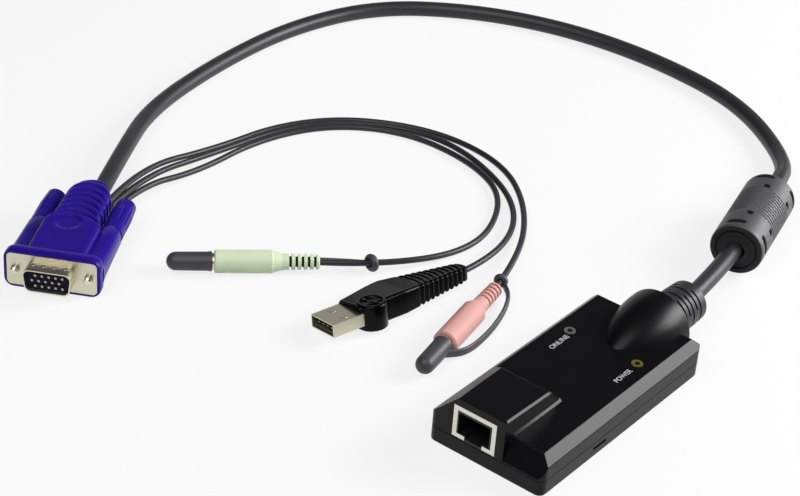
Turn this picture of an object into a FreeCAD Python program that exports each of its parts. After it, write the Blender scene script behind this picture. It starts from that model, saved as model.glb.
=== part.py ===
"""A keyboard, video and mouse dongle with its video, USB and audio plugs.

Millimetres. The housing stands on z = 0 with its network socket facing -y and its
cable leaving towards +y. The cables lie on the same floor.
"""
import FreeCAD, Part
import math
import os
import re
import Sketcher
from FreeCAD import Placement, Rotation, Vector

os.makedirs("parts", exist_ok=True)
doc = FreeCAD.newDocument("kvm_dongle")

# Driving dimensions
SIZES = {
    # Housing
    "house_width": 42.8, "house_front": -55.0, "house_rear": 34.0, "seam_height": 5.6,
    "bevel_height": 10.3, "top_height": 13.4, "wall": 2.0, "miter": 0.4142,
    "front_slope_foot": 6.3, "front_slope_mid": 2.3, "front_slope_top": 4.0, "rear_bevel": 3.3,
    "front_corner": 2.5, "rear_corner": 4.0, "foot_round": 0.8, "edge_round": 0.6,
    "hump_right": 6.5, "hump_top": 20.6, "hump_rear": -26.0, "ridge_back": 6.4, "ridge_height": 19.7,
    "slot_front": -27.9, "slot_length": 7.0, "slot_low": 2.9, "slot_high": 3.9, "slot_deep": 0.8,
    "fit_gap": 0.1,
    # Egg-shaped cable neck and strain relief
    "neck_x": 2.5, "neck_height": 9.6, "neck_radius": 12.3, "neck_arc": 42.5, "neck_tip": 2.0, "neck_end": 35.5,
    "neck_wall": 3.0, "neck_bore": 6.1,
    "relief_end": 55.0, "relief_shoulder": 39.4, "relief_foot": 11.6, "relief_big": 8.0,
    "relief_small": 7.4, "relief_flange": 7.2, "flange_thick": 2.6, "relief_core": 4.7,
    "relief_slot": 0.9, "relief_pitch": 2.3, "relief_first": 39.6, "relief_slots": 5,
    "relief_bridge": 5.0,
    # Board and what stands on it
    "board_clear": 0.9, "board_front": -52.6, "board_length": 72.0, "board_thick": 1.6,
    "board_top": 6.2, "post_inset": 3.5, "post_front": -30.0, "post_rear": 14.0, "post_radius": 2.2,
    "pin_radius": 1.0, "pin_play": 0.1,
    "chip_side": 14.0, "chip_thick": 1.4, "chip_y": -12.0,
    "header_width": 15.0, "header_depth": 5.0, "header_thick": 4.0, "header_y": 14.0,
    "lamp_inset": 8.4, "lamp_y": 6.7, "led_side": 2.0, "led_thick": 1.1,
    "pipe_radius": 1.5, "pipe_proud": 0.25,
    "lamp_ring": 2.0, "lamp_ring_deep": 0.3,
    # Network socket
    "jack_x": -4.65, "jack_width": 16.0, "jack_height": 11.5, "jack_depth": 21.0,
    "jack_sheet": 0.35, "jack_mouth": 11.75, "mouth_low": 1.6, "mouth_high": 9.2,
    "latch_width": 6.4, "cavity_depth": 12.5, "contact_pitch": 1.02, "contact_width": 0.45,
    "contact_thick": 0.35, "contact_drop": 2.4, "contact_front": 3.0, "contact_bend": 9.0,
    "contact_count": 8,
    # Main cable and choke
    "main_thick": 6.2, "choke_near_x": -2.5, "choke_near_y": 92.9, "choke_turn": 14.3,
    "choke_radius": 9.6, "choke_length": 41.2, "choke_wall": 2.0, "choke_end": 3.0,
    "choke_play": 0.2, "core_bore": 3.6, "core_play": 0.05, "choke_rim": 1.0,
    "choke_groove": 0.9, "groove_deep": 0.8, "boss_radius": 5.0, "boss_proud": 0.6,
    "ring_first": 13.5, "ring_pitch": 1.6, "ring_wide": 0.6, "ring_deep": 0.35, "ring_count": 11,
    "hole_radius": 1.3, "hole_near": 11.3, "hole_far": 32.0, "hole_high": 89.0, "hole_low": 24.0,
    "window_near": 4.0, "window_far": 39.0, "window_wide": 1.2, "window_deep": 1.0,
    "window_high": 107.0, "window_low": 15.0, "window_reach": 7.4,
    # Video plug, in its own frame: origin at the flange, y backwards
    "vga_x": -160.92, "vga_y": -79.63, "vga_height": 7.3, "vga_turn": 29.68,
    "block_width": 33.2, "block_high": 14.4, "block_deep": 4.4, "block_corner": 3.5,
    "flange_width": 30.9, "flange_high": 12.3, "flange_sheet": 0.8, "flange_corner": 1.6,
    "dshell_wide": 17.0, "dshell_narrow": 15.0, "dshell_high": 8.36, "dshell_reach": 5.9,
    "dshell_sheet": 0.4, "dshell_corner": 2.4, "insert_back": 1.4,
    "vga_pitch": 2.29, "vga_row": 1.98, "vga_pin": 0.45, "pin_reach": 5.2,
    "body_half": 10.2, "body_high": 13.0, "body_deep": 27.0, "body_corner": 2.8,
    "shoulder_long": 3.0, "tail_half": 8.2, "tail_end": 50.0, "tail_round": 5.4, "lead_exit": 46.4, "lead_side": 6.5,
    "rib_first": 27.5, "rib_pitch": 4.1, "rib_wide": 1.5, "rib_deep": 0.7, "rib_count": 5,
    "dimple_y": 22.0, "dimple_radius": 4.5, "dimple_deep": 0.4,
    "wing_radius": 4.0, "screw_x": 12.495, "screw_radius": 1.4, "screw_play": 0.1,
    "screw_reach": 2.0, "knob_front": 27.4, "knob_length": 20.3, "knob_radius": 3.9,
    "knob_tail": 3.5, "flute_count": 10, "flute_radius": 0.7, "flute_deep": 0.35, "knob_seat": 16.0,
    "lead_thick": 2.2, "seat_deep": 3.0, "seat_play": 0.05,
    # USB plug, in its own frame: origin at the metal's front, y backwards
    "usb_x": -79.47, "usb_y": -37.19, "usb_height": 4.8, "usb_turn": -12.74, "usb_tilt": -11.2,
    "usb_wide": 12.0, "usb_thick": 4.5, "usb_reach": 11.75, "usb_sheet": 0.3, "usb_seam": 0.1,
    "usb_hole": 2.3, "usb_hole_x": 3.2, "usb_hole_y": 6.2, "usb_tail": 6.0,
    "tongue_thick": 1.9, "tongue_back": 0.6,
    "usb_pad_wide": 1.2, "usb_pad_long": 7.0, "usb_pad_thick": 0.15, "usb_pad_pitch": 2.3,
    "hood_nose": 11.75, "hood_wide_at": 31.0, "hood_end": 59.0, "hood_left_front": 7.2,
    "hood_left_wide": 10.6, "hood_right": 5.6, "hood_end_half": 3.1, "hood_left_thin": 2.9,
    "hood_right_thick": 4.4, "hood_end_thick": 2.7, "hood_edge": 1.4,
    "hub_x": 3.9, "hub_y": 17.4, "hub_radius": 5.2, "hub_half": 4.6,
    "usb_rib_first": 37.0, "usb_rib_pitch": 2.2, "usb_rib_wide": 0.9, "usb_rib_keep": 0.75,
    "usb_rib_count": 10,
    # Audio plugs, in their own frame: origin at the cap's tip, y backwards
    "green_x": -143.2, "green_y": -44.0, "green_turn": -46.0, "green_radius": 4.0,
    "green_front": 16.2, "green_body": 20.1, "green_tail": 35.8,
    "pink_x": -41.9, "pink_y": -33.1, "pink_turn": 11.07, "pink_radius": 4.3,
    "pink_front": 16.9, "pink_body": 22.0, "pink_tail": 38.3,
    "lie_gap": 0.05, "cap_radius": 3.15, "cap_nose": 2.4, "cap_bore": 1.85, "cap_top": 1.6, "cap_clear": 0.7,
    "plug_pin": 1.75, "plug_collar": 2.9, "body_taper": 2.9, "relief_thick": 2.9,
    "relief_thin": 2.6, "audio_slot": 0.9, "audio_pitch": 2.1, "audio_slots": 5,
    "audio_core": 1.75, "audio_slot_back": 1.2, "tip_neck": 1.1, "tip_ball": 3.0,
    "strap_radius": 0.9, "strap_low": 1.0, "ring_inner": 1.4, "ring_bar": 0.9, "ring_back": 9.0,
}

sheet = doc.addObject("Spreadsheet::Sheet", "Sizes")
for row, (alias, number) in enumerate(SIZES.items(), 1):
    sheet.set("A%d" % row, alias)
    sheet.set("B%d" % row, str(number))
    sheet.setAlias("B%d" % row, alias)

# Sizes that follow from others
FOLLOW = {
    "board_width": "house_width - 2 * wall - 2 * board_clear",
    "post_x": "board_width / 2 - post_inset",
    "lamp_x": "house_width / 2 - lamp_inset",
}
for row, (alias, sum_text) in enumerate(FOLLOW.items(), len(SIZES) + 1):
    sheet.set("A%d" % row, alias)
    sheet.set("B%d" % row, "=" + sum_text)
    sheet.setAlias("B%d" % row, alias)
doc.recompute()


def size(alias):
    """A driving dimension as a number, read from the sheet."""
    return float(sheet.get(alias))


def ex(text):
    """An expression in which each size's name points at its cell."""
    known = {**SIZES, **FOLLOW}
    return re.sub(r"[a-z_]+[a-z]", lambda m: "Sizes." + m.group() if m.group() in known else m.group(),
                  str(text))


def bind(thing, prop, text):
    thing.setExpression(prop, ex(text))


def box(name, spans, base):
    """A block of three spans from its low corner."""
    made = doc.addObject("Part::Box", name)
    for prop, text in zip(("Length", "Width", "Height"), spans):
        bind(made, prop, text)
    for axis, text in zip("xyz", base):
        bind(made, "Placement.Base." + axis, text)
    return made


TURNS = {"x": Rotation(Vector(0, 1, 0), 90), "y": Rotation(Vector(1, 0, 0), -90), "z": Rotation()}


def rod(name, radius, length, base, along="z"):
    """A cylinder from the middle of its first end."""
    made = doc.addObject("Part::Cylinder", name)
    made.Placement = Placement(Vector(), TURNS[along])
    bind(made, "Radius", radius)
    bind(made, "Height", length)
    for axis, text in zip("xyz", base):
        bind(made, "Placement.Base." + axis, text)
    return made


def cut(name, base, *tools):
    made = doc.addObject("Part::Cut", name)
    made.Base = base
    made.Tool = tools[0] if len(tools) == 1 else fuse(name + "_tools", *tools)
    return made


def fuse(name, *shapes):
    made = doc.addObject("Part::MultiFuse", name)
    made.Shapes = list(shapes)
    return made


def common(name, *shapes):
    made = doc.addObject("Part::MultiCommon", name)
    made.Shapes = list(shapes)
    return made


def new_sketch(body, role, offset="0"):
    """A sketch on one of the body's own origin planes, moved along the plane's normal."""
    plane = [f for f in body.Origin.OriginFeatures if f.Role == role][0]
    made = body.newObject("Sketcher::SketchObject", body.Name + "_sketch")
    made.AttachmentSupport = (plane, [""])
    made.MapMode = "FlatFace"
    bind(made, "AttachmentOffset.Base.z", offset)
    return made


def draw(made, points):
    """A closed outline whose corners are each bound to two expressions."""
    count = len(points)
    ring = [Vector(10 * math.cos(2 * math.pi * i / count), 10 * math.sin(2 * math.pi * i / count), 0)
            for i in range(count)]
    first = made.GeometryCount
    for i in range(count):
        made.addGeometry(Part.LineSegment(ring[i], ring[(i + 1) % count]), False)
    for i in range(count):
        made.addConstraint(Sketcher.Constraint("Coincident", first + i, 2, first + (i + 1) % count, 1))
    for i, pair in enumerate(points):
        for kind, text in zip(("DistanceX", "DistanceY"), pair):
            index = made.addConstraint(Sketcher.Constraint(kind, -1, 1, first + i, 1, 1.0))
            bind(made, "Constraints[%d]" % index, text)


def prism(name, role, points, start, length):
    """An outline on an origin plane, padded from a start along the plane's normal."""
    body = doc.addObject("PartDesign::Body", name)
    made = new_sketch(body, role, start)
    draw(made, points)
    pad = body.newObject("PartDesign::Pad", name + "_pad")
    pad.Profile = made
    bind(pad, "Length", length)
    body.Tip = pad
    body.recompute(True)
    return body


def turned(name, points):
    """A profile of radius against length, turned about the body's own y axis."""
    body = doc.addObject("PartDesign::Body", name)
    made = new_sketch(body, "XY_Plane")
    draw(made, points)
    spun = body.newObject("PartDesign::Revolution", name + "_turn")
    spun.Profile = made
    spun.ReferenceAxis = (made, ["V_Axis"])
    spun.Angle = 360
    body.Tip = spun
    return body


def rounded(body, radius, wanted):
    """Rounds the edges of a body that the test picks."""
    base = body.Tip
    names = ["Edge%d" % (i + 1) for i, edge in enumerate(base.Shape.Edges) if wanted(edge)]
    made = body.newObject("PartDesign::Fillet", body.Name + "_round")
    made.Base = (base, names)
    bind(made, "Radius", radius)
    body.Tip = made
    body.recompute(True)
    return body


def runs_along(direction, where=lambda middle: True):
    """A test for straight edges along a direction, at places that a second test accepts."""
    def wanted(edge):
        way = edge.Vertexes[-1].Point - edge.Vertexes[0].Point
        straight = way.Length > 1e-6 and abs(way.normalize().dot(direction)) > 0.999
        return straight and where(edge.BoundBox.Center)
    return wanted


X, Y, Z = Vector(1, 0, 0), Vector(0, 1, 0), Vector(0, 0, 1)
nodes = {}


def node(name, made, placement=None):
    """Names a finished piece and sets where it stands."""
    made.Label = name
    if placement:
        made.Placement = placement
    nodes[name] = made
    return made


# Cable routes: corners of each route by hand, rounded by tangent arcs
def unit(vector):
    return vector * (1.0 / vector.Length)


vga_place = Placement(Vector(size("vga_x"), size("vga_y"), size("vga_height")),
                      Rotation(size("vga_turn"), 0, 0))
usb_place = Placement(Vector(size("usb_x"), size("usb_y"), size("usb_height")),
                      Rotation(size("usb_turn"), size("usb_tilt"), 0))


def audio_place(colour):
    height = size(colour + "_radius") + size("lie_gap")
    return Placement(Vector(size(colour + "_x"), size(colour + "_y"), height),
                     Rotation(size(colour + "_turn"), 0, 0))


green_place, pink_place = audio_place("green"), audio_place("pink")
choke_place = Placement(Vector(size("choke_near_x"), size("choke_near_y"), size("choke_radius")),
                        Rotation(size("choke_turn"), 0, 0))


def behind(place, distance, x=0.0, z=0.0):
    """A point on a piece's own frame, so far back along its y axis."""
    return place.multVec(Vector(x, distance, z))


seat = size("seat_deep")
main_low = size("main_thick") / 2 + 0.05
lead_low = size("lead_thick") / 2 + 0.05
relief_mouth = Vector(size("neck_x"), size("relief_end") - seat, size("neck_height"))
choke_lead = 9.0
lead_stack = 2.6
lead_exit = size("lead_exit")
lead_side = size("lead_side")
green_tail = size("green_front") + size("green_tail")
pink_tail = size("pink_front") + size("pink_tail")

ROUTES = {
    "main_cable": [
        relief_mouth, behind(choke_place, -choke_lead), behind(choke_place, size("choke_length") + choke_lead),
        Vector(-22.5, 171.2, main_low), Vector(-62.6, 197.2, main_low), Vector(-108.6, 204.4, main_low),
        Vector(-150.8, 200.3, main_low), Vector(-188.3, 184.3, main_low), Vector(-217.8, 157.7, main_low),
        Vector(-229.7, 118.0, main_low), Vector(-229.1, 73.7, main_low), Vector(-221.9, 28.6, main_low),
        behind(vga_place, 83.0, 1.0), behind(vga_place, size("tail_end") - seat, 1.0)],
    "green_cable": [
        behind(vga_place, lead_exit - seat, lead_side, -lead_stack),
        Vector(-187.0, -14.0, 4.0), Vector(-180.6, 10.5, lead_low), Vector(-181.2, 43.3, lead_low),
        Vector(-168.1, 71.0, lead_low), Vector(-143.6, 87.6, lead_low), Vector(-111.1, 87.0, lead_low),
        Vector(-87.6, 74.1, lead_low), Vector(-74.4, 42.0, lead_low),
        behind(green_place, green_tail + 21.0), behind(green_place, green_tail - seat)],
    "usb_cable": [
        behind(vga_place, lead_exit - seat, lead_side, 0.0),
        Vector(-191.6, -9.5, 5.6), Vector(-188.2, 25.5, lead_low), Vector(-182.0, 54.0, lead_low),
        Vector(-167.6, 74.6, lead_low), Vector(-145.2, 90.8, lead_low), Vector(-117.4, 92.4, lead_low),
        Vector(-80.6, 75.6, lead_low),
        behind(usb_place, size("hood_end") + 20.0), behind(usb_place, size("hood_end") - seat)],
    "pink_cable": [
        behind(vga_place, lead_exit - seat, lead_side, lead_stack),
        Vector(-195.0, -6.0, 7.6), Vector(-191.6, 28.0, lead_low), Vector(-185.6, 58.6, lead_low),
        Vector(-165.8, 82.6, lead_low), Vector(-135.4, 97.8, lead_low), Vector(-103.2, 95.6, lead_low),
        Vector(-78.4, 76.8, lead_low),
        behind(pink_place, pink_tail + 23.0), behind(pink_place, pink_tail - seat)],
}
CORD_WIDTH = {"main_cable": size("main_thick"), "green_cable": size("lead_thick"),
              "usb_cable": size("lead_thick"), "pink_cable": size("lead_thick")}


def smooth_wire(points):
    """Straight runs joined by tangent arcs, each as large as its two runs allow."""
    edges = []
    radii = []
    start = points[0]
    for before, corner, after in zip(points, points[1:], points[2:]):
        back, ahead = unit(before - corner), unit(after - corner)
        reach = 0.45 * min((before - corner).Length, (after - corner).Length)
        half_turn = (math.pi - back.getAngle(ahead)) / 2
        radius = reach / math.tan(half_turn)
        middle = corner + unit(back + ahead) * (radius / math.cos(half_turn) - radius)
        enter, leave = corner + back * reach, corner + ahead * reach
        edges.append(Part.LineSegment(start, enter).toShape())
        edges.append(Part.Arc(enter, middle, leave).toShape())
        radii.append(round(radius, 1))
        start = leave
    edges.append(Part.LineSegment(start, points[-1]).toShape())
    return Part.Wire(edges), radii


def tube(points, radius):
    """A round tube along a smooth wire."""
    wire, radii = smooth_wire(points)
    ring = Part.Wire(Part.Circle(points[0], unit(points[1] - points[0]), radius).toShape())
    return wire.makePipeShell([ring], True, True), wire.Length, radii


for cord, points in ROUTES.items():
    shape, length, radii = tube(points, CORD_WIDTH[cord] / 2)
    solid = doc.addObject("Part::Feature", cord)
    solid.Shape = shape
    node(cord, solid)
    section = math.pi * CORD_WIDTH[cord] ** 2 / 4
    print(cord, "length", round(length, 1), "volume share", round(shape.Volume / (section * length), 4))
    print("  radii", radii)


def cord_seat(name, points, radius):
    """The blind hole in a gland that holds the end of a cord."""
    inward = unit(points[0] - points[1])
    made = doc.addObject("Part::Cylinder", name)
    made.Radius = radius + size("seat_play")
    made.Height = 4 * seat
    made.Placement = Placement(points[0] - inward * (4 * seat), Rotation(Z, inward))
    return made


# Housing: plan, cross-section and side view in common, outside and, moved in by the wall, inside
def housing_form(tag, inset):
    names = dict(i=inset, half="house_width / 2 - %s" % inset)
    span = "house_rear - house_front - 2 * %s" % inset
    plan = prism(tag + "_plan", "XY_Plane",
                 [("-({half})".format(**names), "house_front + {i}".format(**names)),
                  ("{half}".format(**names), "house_front + {i}".format(**names)),
                  ("{half}".format(**names), "house_rear - {i}".format(**names)),
                  ("-({half})".format(**names), "house_rear - {i}".format(**names))],
                 inset, "hump_top - 2 * %s" % inset)
    middle = (size("house_front") + size("house_rear")) / 2
    rounded(plan, "front_corner - " + inset, runs_along(Z, lambda c: c.y < middle))
    rounded(plan, "rear_corner - " + inset, runs_along(Z, lambda c: c.y > middle and abs(c.x) > 1))
    if inset == "0":
        rounded(plan, "foot_round", lambda edge: edge.BoundBox.ZMax < 1e-6)
    low_bevel = "bevel_height - miter * {i}".format(**names)
    ceiling = "top_height - {i}".format(**names)
    shoulder = "house_width / 2 + bevel_height - top_height - miter * {i}".format(**names)
    across = prism(tag + "_across", "XZ_Plane",
                   [("-({half})".format(**names), inset), (names["half"], inset), (names["half"], low_bevel),
                    (shoulder, ceiling), ("-(%s)" % shoulder, ceiling),
                    ("-({half})".format(**names), low_bevel)],
                   "-(house_rear - %s)" % inset, span)
    if inset == "0":
        rounded(across, "edge_round", runs_along(Y, lambda c: c.z > 1))
    front = "house_front + {i}".format(**names)
    rear = "house_rear - {i}".format(**names)
    side = prism(tag + "_side", "YZ_Plane",
                 [(front, inset), (rear, inset), (rear, low_bevel),
                  ("house_rear - rear_bevel - miter * {i}".format(**names), ceiling),
                  (front + " + front_slope_top", ceiling), (front + " + front_slope_mid", low_bevel),
                  (front, "front_slope_foot")],
                 "-(house_width / 2)", "house_width")
    if inset == "0":
        rounded(side, "edge_round", runs_along(X, lambda c: c.z > 1))
    crown = "hump_top - {i}".format(**names)
    crown_left = "house_width / 2 + bevel_height - hump_top - miter * {i}".format(**names)
    hump_across = prism(tag + "_hump_across", "XZ_Plane",
                        [("-({half})".format(**names), inset), ("hump_right - %s" % inset, inset),
                         ("hump_right - %s" % inset, crown), ("-(%s)" % crown_left, crown),
                         ("-({half})".format(**names), low_bevel)],
                        "-(house_rear - %s)" % inset, span)
    if inset == "0":
        rounded(hump_across, "edge_round", runs_along(Y, lambda c: c.z > 1))
    hump_back = "hump_rear - {i}".format(**names)
    hump_side = prism(tag + "_hump_side", "YZ_Plane",
                      [(front, inset), (hump_back, inset), (hump_back, "top_height - miter * %s" % inset),
                       ("hump_rear - ridge_back - miter * %s" % inset, "ridge_height - %s" % inset),
                       (front, crown)],
                      "-(house_width / 2)", "house_width")
    if inset == "0":
        rounded(hump_side, "edge_round", runs_along(X, lambda c: c.z > 14))
    slab = common(tag + "_slab", plan, across, side)
    hump = common(tag + "_hump", plan, hump_across, hump_side)
    return slab, hump


def egg(tag, inset, end):
    """The cable neck: a long arc turned about the cable's axis, cut flat at its end and underneath."""
    body = doc.addObject("PartDesign::Body", tag + "_egg")
    made = new_sketch(body, "XY_Plane")
    moved_in = size(inset) if inset in SIZES else 0.0
    arc_radius = size("neck_arc") - moved_in
    middle = Vector(size("neck_radius") - size("neck_arc"), size("house_rear"), 0)
    tip = size("neck_tip")
    lean = math.acos((tip - middle.x) / arc_radius)
    tip_y = middle.y - arc_radius * math.sin(lean)
    wide, stop = size("neck_radius") - moved_in, middle.y + 1
    made.addGeometry(Part.LineSegment(Vector(0, tip_y, 0), Vector(tip, tip_y, 0)), False)
    made.addGeometry(Part.ArcOfCircle(Part.Circle(middle, Vector(0, 0, 1), arc_radius), -lean, 0), False)
    made.addGeometry(Part.LineSegment(Vector(wide, middle.y, 0), Vector(wide, stop, 0)), False)
    made.addGeometry(Part.LineSegment(Vector(wide, stop, 0), Vector(0, stop, 0)), False)
    made.addGeometry(Part.LineSegment(Vector(0, stop, 0), Vector(0, tip_y, 0)), False)
    for i in range(5):
        made.addConstraint(Sketcher.Constraint("Coincident", i, 2, (i + 1) % 5, 1))
    for kind, line in (("Horizontal", 0), ("Vertical", 2), ("Horizontal", 3), ("Vertical", 4)):
        made.addConstraint(Sketcher.Constraint(kind, line))
    for kind, part, point, text in (("DistanceX", 1, 3, "neck_radius - neck_arc"), ("DistanceY", 1, 3, "house_rear"),
                                    ("DistanceX", 0, 2, "neck_tip"), ("DistanceY", 1, 2, "house_rear"),
                                    ("DistanceX", 4, 1, "0"), ("DistanceY", 3, 1, "neck_end")):
        index = made.addConstraint(Sketcher.Constraint(kind, -1, 1, part, point, 1.0))
        bind(made, "Constraints[%d]" % index, text)
    index = made.addConstraint(Sketcher.Constraint("Radius", 1, arc_radius))
    bind(made, "Constraints[%d]" % index, "neck_arc - " + inset)
    spun = body.newObject("PartDesign::Revolution", tag + "_egg_turn")
    spun.Profile = made
    spun.ReferenceAxis = (made, ["V_Axis"])
    spun.Angle = 360
    body.Tip = spun
    bind(body, "Placement.Base.x", "neck_x")
    bind(body, "Placement.Base.z", "neck_height")
    room = box(tag + "_egg_room", ("4 * neck_radius", "%s - hump_rear" % end, "4 * neck_radius"),
               ("neck_x - 2 * neck_radius", "hump_rear", inset))
    return common(tag + "_neck", body, room)


outside = fuse("outside", *housing_form("outer", "0"), egg("outer", "0", "neck_end"))
inside = fuse("inside", *housing_form("inner", "wall"), egg("inner", "wall", "neck_end - neck_wall"))
jack_low = "board_top"
jack_hole = box("jack_hole", ("jack_width + 2 * fit_gap", "jack_depth + wall + fit_gap",
                              "board_top - seam_height + jack_height + fit_gap"),
                ("jack_x - jack_width / 2 - fit_gap", "house_front - wall", "seam_height"))
neck_hole = rod("neck_hole", "neck_bore", "3 * neck_wall", ("neck_x", "neck_end - 2 * neck_wall", "neck_height"),
                "y")
pry_slot = box("pry_slot", ("2 * slot_deep", "slot_length", "slot_high - slot_low"),
               ("house_width / 2 - slot_deep", "slot_front", "slot_low"))
lamp_holes = []
for side, sign in (("online", "-"), ("power", "")):
    lamp_base = (sign + "lamp_x", "lamp_y")
    lamp_holes.append(rod("hole_" + side, "pipe_radius + fit_gap", "2 * wall", lamp_base + ("top_height - wall - 1",)))
    lamp_holes.append(rod("sink_" + side, "lamp_ring", "lamp_ring_deep + 1", lamp_base + ("top_height - lamp_ring_deep",)))
hollow = cut("hollow", outside, inside, jack_hole, neck_hole, pry_slot, *lamp_holes)

half_room = ("2 * house_width", "4 * house_rear - house_front")
lower_room = box("lower_room", half_room + ("seam_height",), ("-house_width", "house_front - wall", "0"))
upper_room = box("upper_room", half_room + ("2 * hump_top",), ("-house_width", "house_front - wall", "seam_height"))
node("top_shell", common("top_half", hollow, upper_room))

posts = []
for x_place in ("-post_x", "post_x"):
    for y_place in ("post_front", "post_rear"):
        name = "post_%d" % len(posts)
        stem = rod(name, "post_radius", "board_top - board_thick - wall", (x_place, y_place, "wall"))
        peg = rod(name + "_peg", "pin_radius", "board_top - wall", (x_place, y_place, "wall"))
        posts.append(fuse(name + "_whole", stem, peg))
sill = box("sill", ("jack_width", "wall", "board_top - seam_height - fit_gap + wall"),
           ("jack_x - jack_width / 2", "house_front", "seam_height - wall"))
node("bottom_shell", fuse("bottom_half", common("bottom_tray", hollow, lower_room), sill, *posts))

# Board, its chip and cable header, the two lamps and their light pipes
board_blank = box("board_blank", ("board_width", "board_length", "board_thick"),
                  ("-board_width / 2", "board_front", "board_top - board_thick"))
peg_holes = [rod("peg_hole_%s_%s" % (x_place.strip("-") + str(len(x_place)), y_place), "pin_radius + pin_play",
                 "3 * board_thick", (x_place, y_place, "board_top - 2 * board_thick"))
             for x_place in ("-post_x", "post_x") for y_place in ("post_front", "post_rear")]
node("circuit_board", cut("board", board_blank, *peg_holes))
node("controller_chip", box("chip", ("chip_side", "chip_side", "chip_thick"),
                            ("-chip_side / 2", "chip_y - chip_side / 2", "board_top")))
node("cable_header", box("header", ("header_width", "header_depth", "header_thick"),
                         ("-header_width / 2", "header_y - header_depth / 2", "board_top")))
for side, sign in (("online", "-1"), ("power", "1")):
    node("led_" + side, box("led_" + side, ("led_side", "led_side", "led_thick"),
                            (sign + " * lamp_x - led_side / 2", "lamp_y - led_side / 2", "board_top")))
    lamp_base = (sign + " * lamp_x", "lamp_y")
    stem = rod("pipe_stem_" + side, "pipe_radius", "top_height + pipe_proud - board_top - led_thick",
               lamp_base + ("board_top + led_thick",))
    brim = rod("pipe_brim_" + side, "lamp_ring - fit_gap", "lamp_ring_deep + pipe_proud",
               lamp_base + ("top_height - lamp_ring_deep",))
    bowl = rod("pipe_bowl_" + side, "pipe_radius - 0.6", "1", lamp_base + ("top_height",))
    node("light_pipe_" + side, cut("pipe_" + side, fuse("pipe_solid_" + side, stem, brim), bowl))

# Network socket: folded shield, moulded insert and eight sprung contacts
jack_left = "jack_x - jack_width / 2"
shield_blank = box("shield_blank", ("jack_width", "jack_depth", "jack_height"), (jack_left, "house_front", jack_low))
shield_room = box("shield_room", ("jack_width - 2 * jack_sheet", "jack_depth", "jack_height - 2 * jack_sheet"),
                  (jack_left + " + jack_sheet", "house_front + jack_sheet", jack_low + " + jack_sheet"))


def mouth(tag, depth):
    """The socket's mouth and the channel for the plug's latch below it."""
    main = box(tag + "_mouth", ("jack_mouth", depth + " + 1", "mouth_high - mouth_low"),
               ("jack_x - jack_mouth / 2", "house_front - 1", jack_low + " + mouth_low"))
    latch = box(tag + "_latch", ("latch_width", depth + " + 1", "mouth_low"),
                ("jack_x - latch_width / 2", "house_front - 1", jack_low + " + 2 * jack_sheet"))
    return main, latch


node("jack_shield", cut("shield", shield_blank, shield_room, *mouth("shield", "2 * jack_sheet")))
insert_blank = box("insert_blank",
                   ("jack_width - 2 * jack_sheet", "jack_depth - jack_sheet", "jack_height - 2 * jack_sheet"),
                   (jack_left + " + jack_sheet", "house_front + jack_sheet", jack_low + " + jack_sheet"))
node("jack_insert", cut("insert", insert_blank, *mouth("insert", "cavity_depth")))
roof = jack_low + " + mouth_high"
strips = []
for i in range(int(size("contact_count"))):
    left = "jack_x + (%d - (contact_count - 1) / 2) * contact_pitch - contact_width / 2" % i
    strips.append(prism("contact_%d" % i, "YZ_Plane",
                        [("house_front + contact_front", roof),
                         ("house_front + contact_bend", roof + " - contact_drop"),
                         ("house_front + cavity_depth", roof + " - contact_drop"),
                         ("house_front + cavity_depth", roof + " - contact_drop + contact_thick"),
                         ("house_front + contact_bend + contact_thick / 2", roof + " - contact_drop + contact_thick"),
                         ("house_front + contact_front + 2 * contact_thick", roof)],
                        left, "contact_width"))
node("jack_contacts", fuse("contacts", *strips))

# Strain relief: a soft moulding caught behind the neck's end wall, slotted so that it bends
flange_at = "neck_end - neck_wall - fit_gap"
relief_profile = [
    ("0", flange_at + " - flange_thick"), ("relief_flange", flange_at + " - flange_thick"),
    ("relief_flange", flange_at), ("neck_bore - fit_gap", flange_at), ("neck_bore - fit_gap", "neck_end"),
    ("relief_foot", "neck_end"), ("relief_foot - 0.5", "neck_end + 1.6"), ("relief_big + 0.9", "relief_shoulder - 0.9"),
    ("relief_big", "relief_shoulder"), ("relief_small", "relief_end - 1.2"), ("relief_small - 1.2", "relief_end"),
    ("0", "relief_end")]
relief_solid = turned("relief_turned", relief_profile)
relief_solid.Placement = Placement(Vector(size("neck_x"), 0, size("neck_height")), Rotation())
relief_cuts = []
for i in range(int(size("relief_slots"))):
    start = "relief_first + 1 + %d * relief_pitch" % i
    ring = rod("slot_ring_%d" % i, "2 * relief_big", "relief_slot", ("neck_x", start, "neck_height"), "y")
    core = rod("slot_core_%d" % i, "relief_core", "relief_slot", ("neck_x", start, "neck_height"), "y")
    if i % 2:
        bar = box("slot_bar_%d" % i, ("4 * relief_big", "relief_slot", "relief_bridge"),
                  ("neck_x - 2 * relief_big", start, "neck_height - relief_bridge / 2"))
    else:
        bar = box("slot_bar_%d" % i, ("relief_bridge", "relief_slot", "4 * relief_big"),
                  ("neck_x - relief_bridge / 2", start, "neck_height - 2 * relief_big"))
    relief_cuts.append(cut("slot_%d" % i, ring, core, bar))
floor_cut = box("relief_floor", ("4 * neck_radius", "relief_end", "neck_radius"),
                ("neck_x - 2 * neck_radius", "neck_end - 2 * neck_wall", "-neck_radius"))
relief_seat = cord_seat("relief_seat", ROUTES["main_cable"], size("main_thick") / 2)
node("strain_relief", cut("relief", relief_solid, floor_cut, relief_seat, *relief_cuts))

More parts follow.
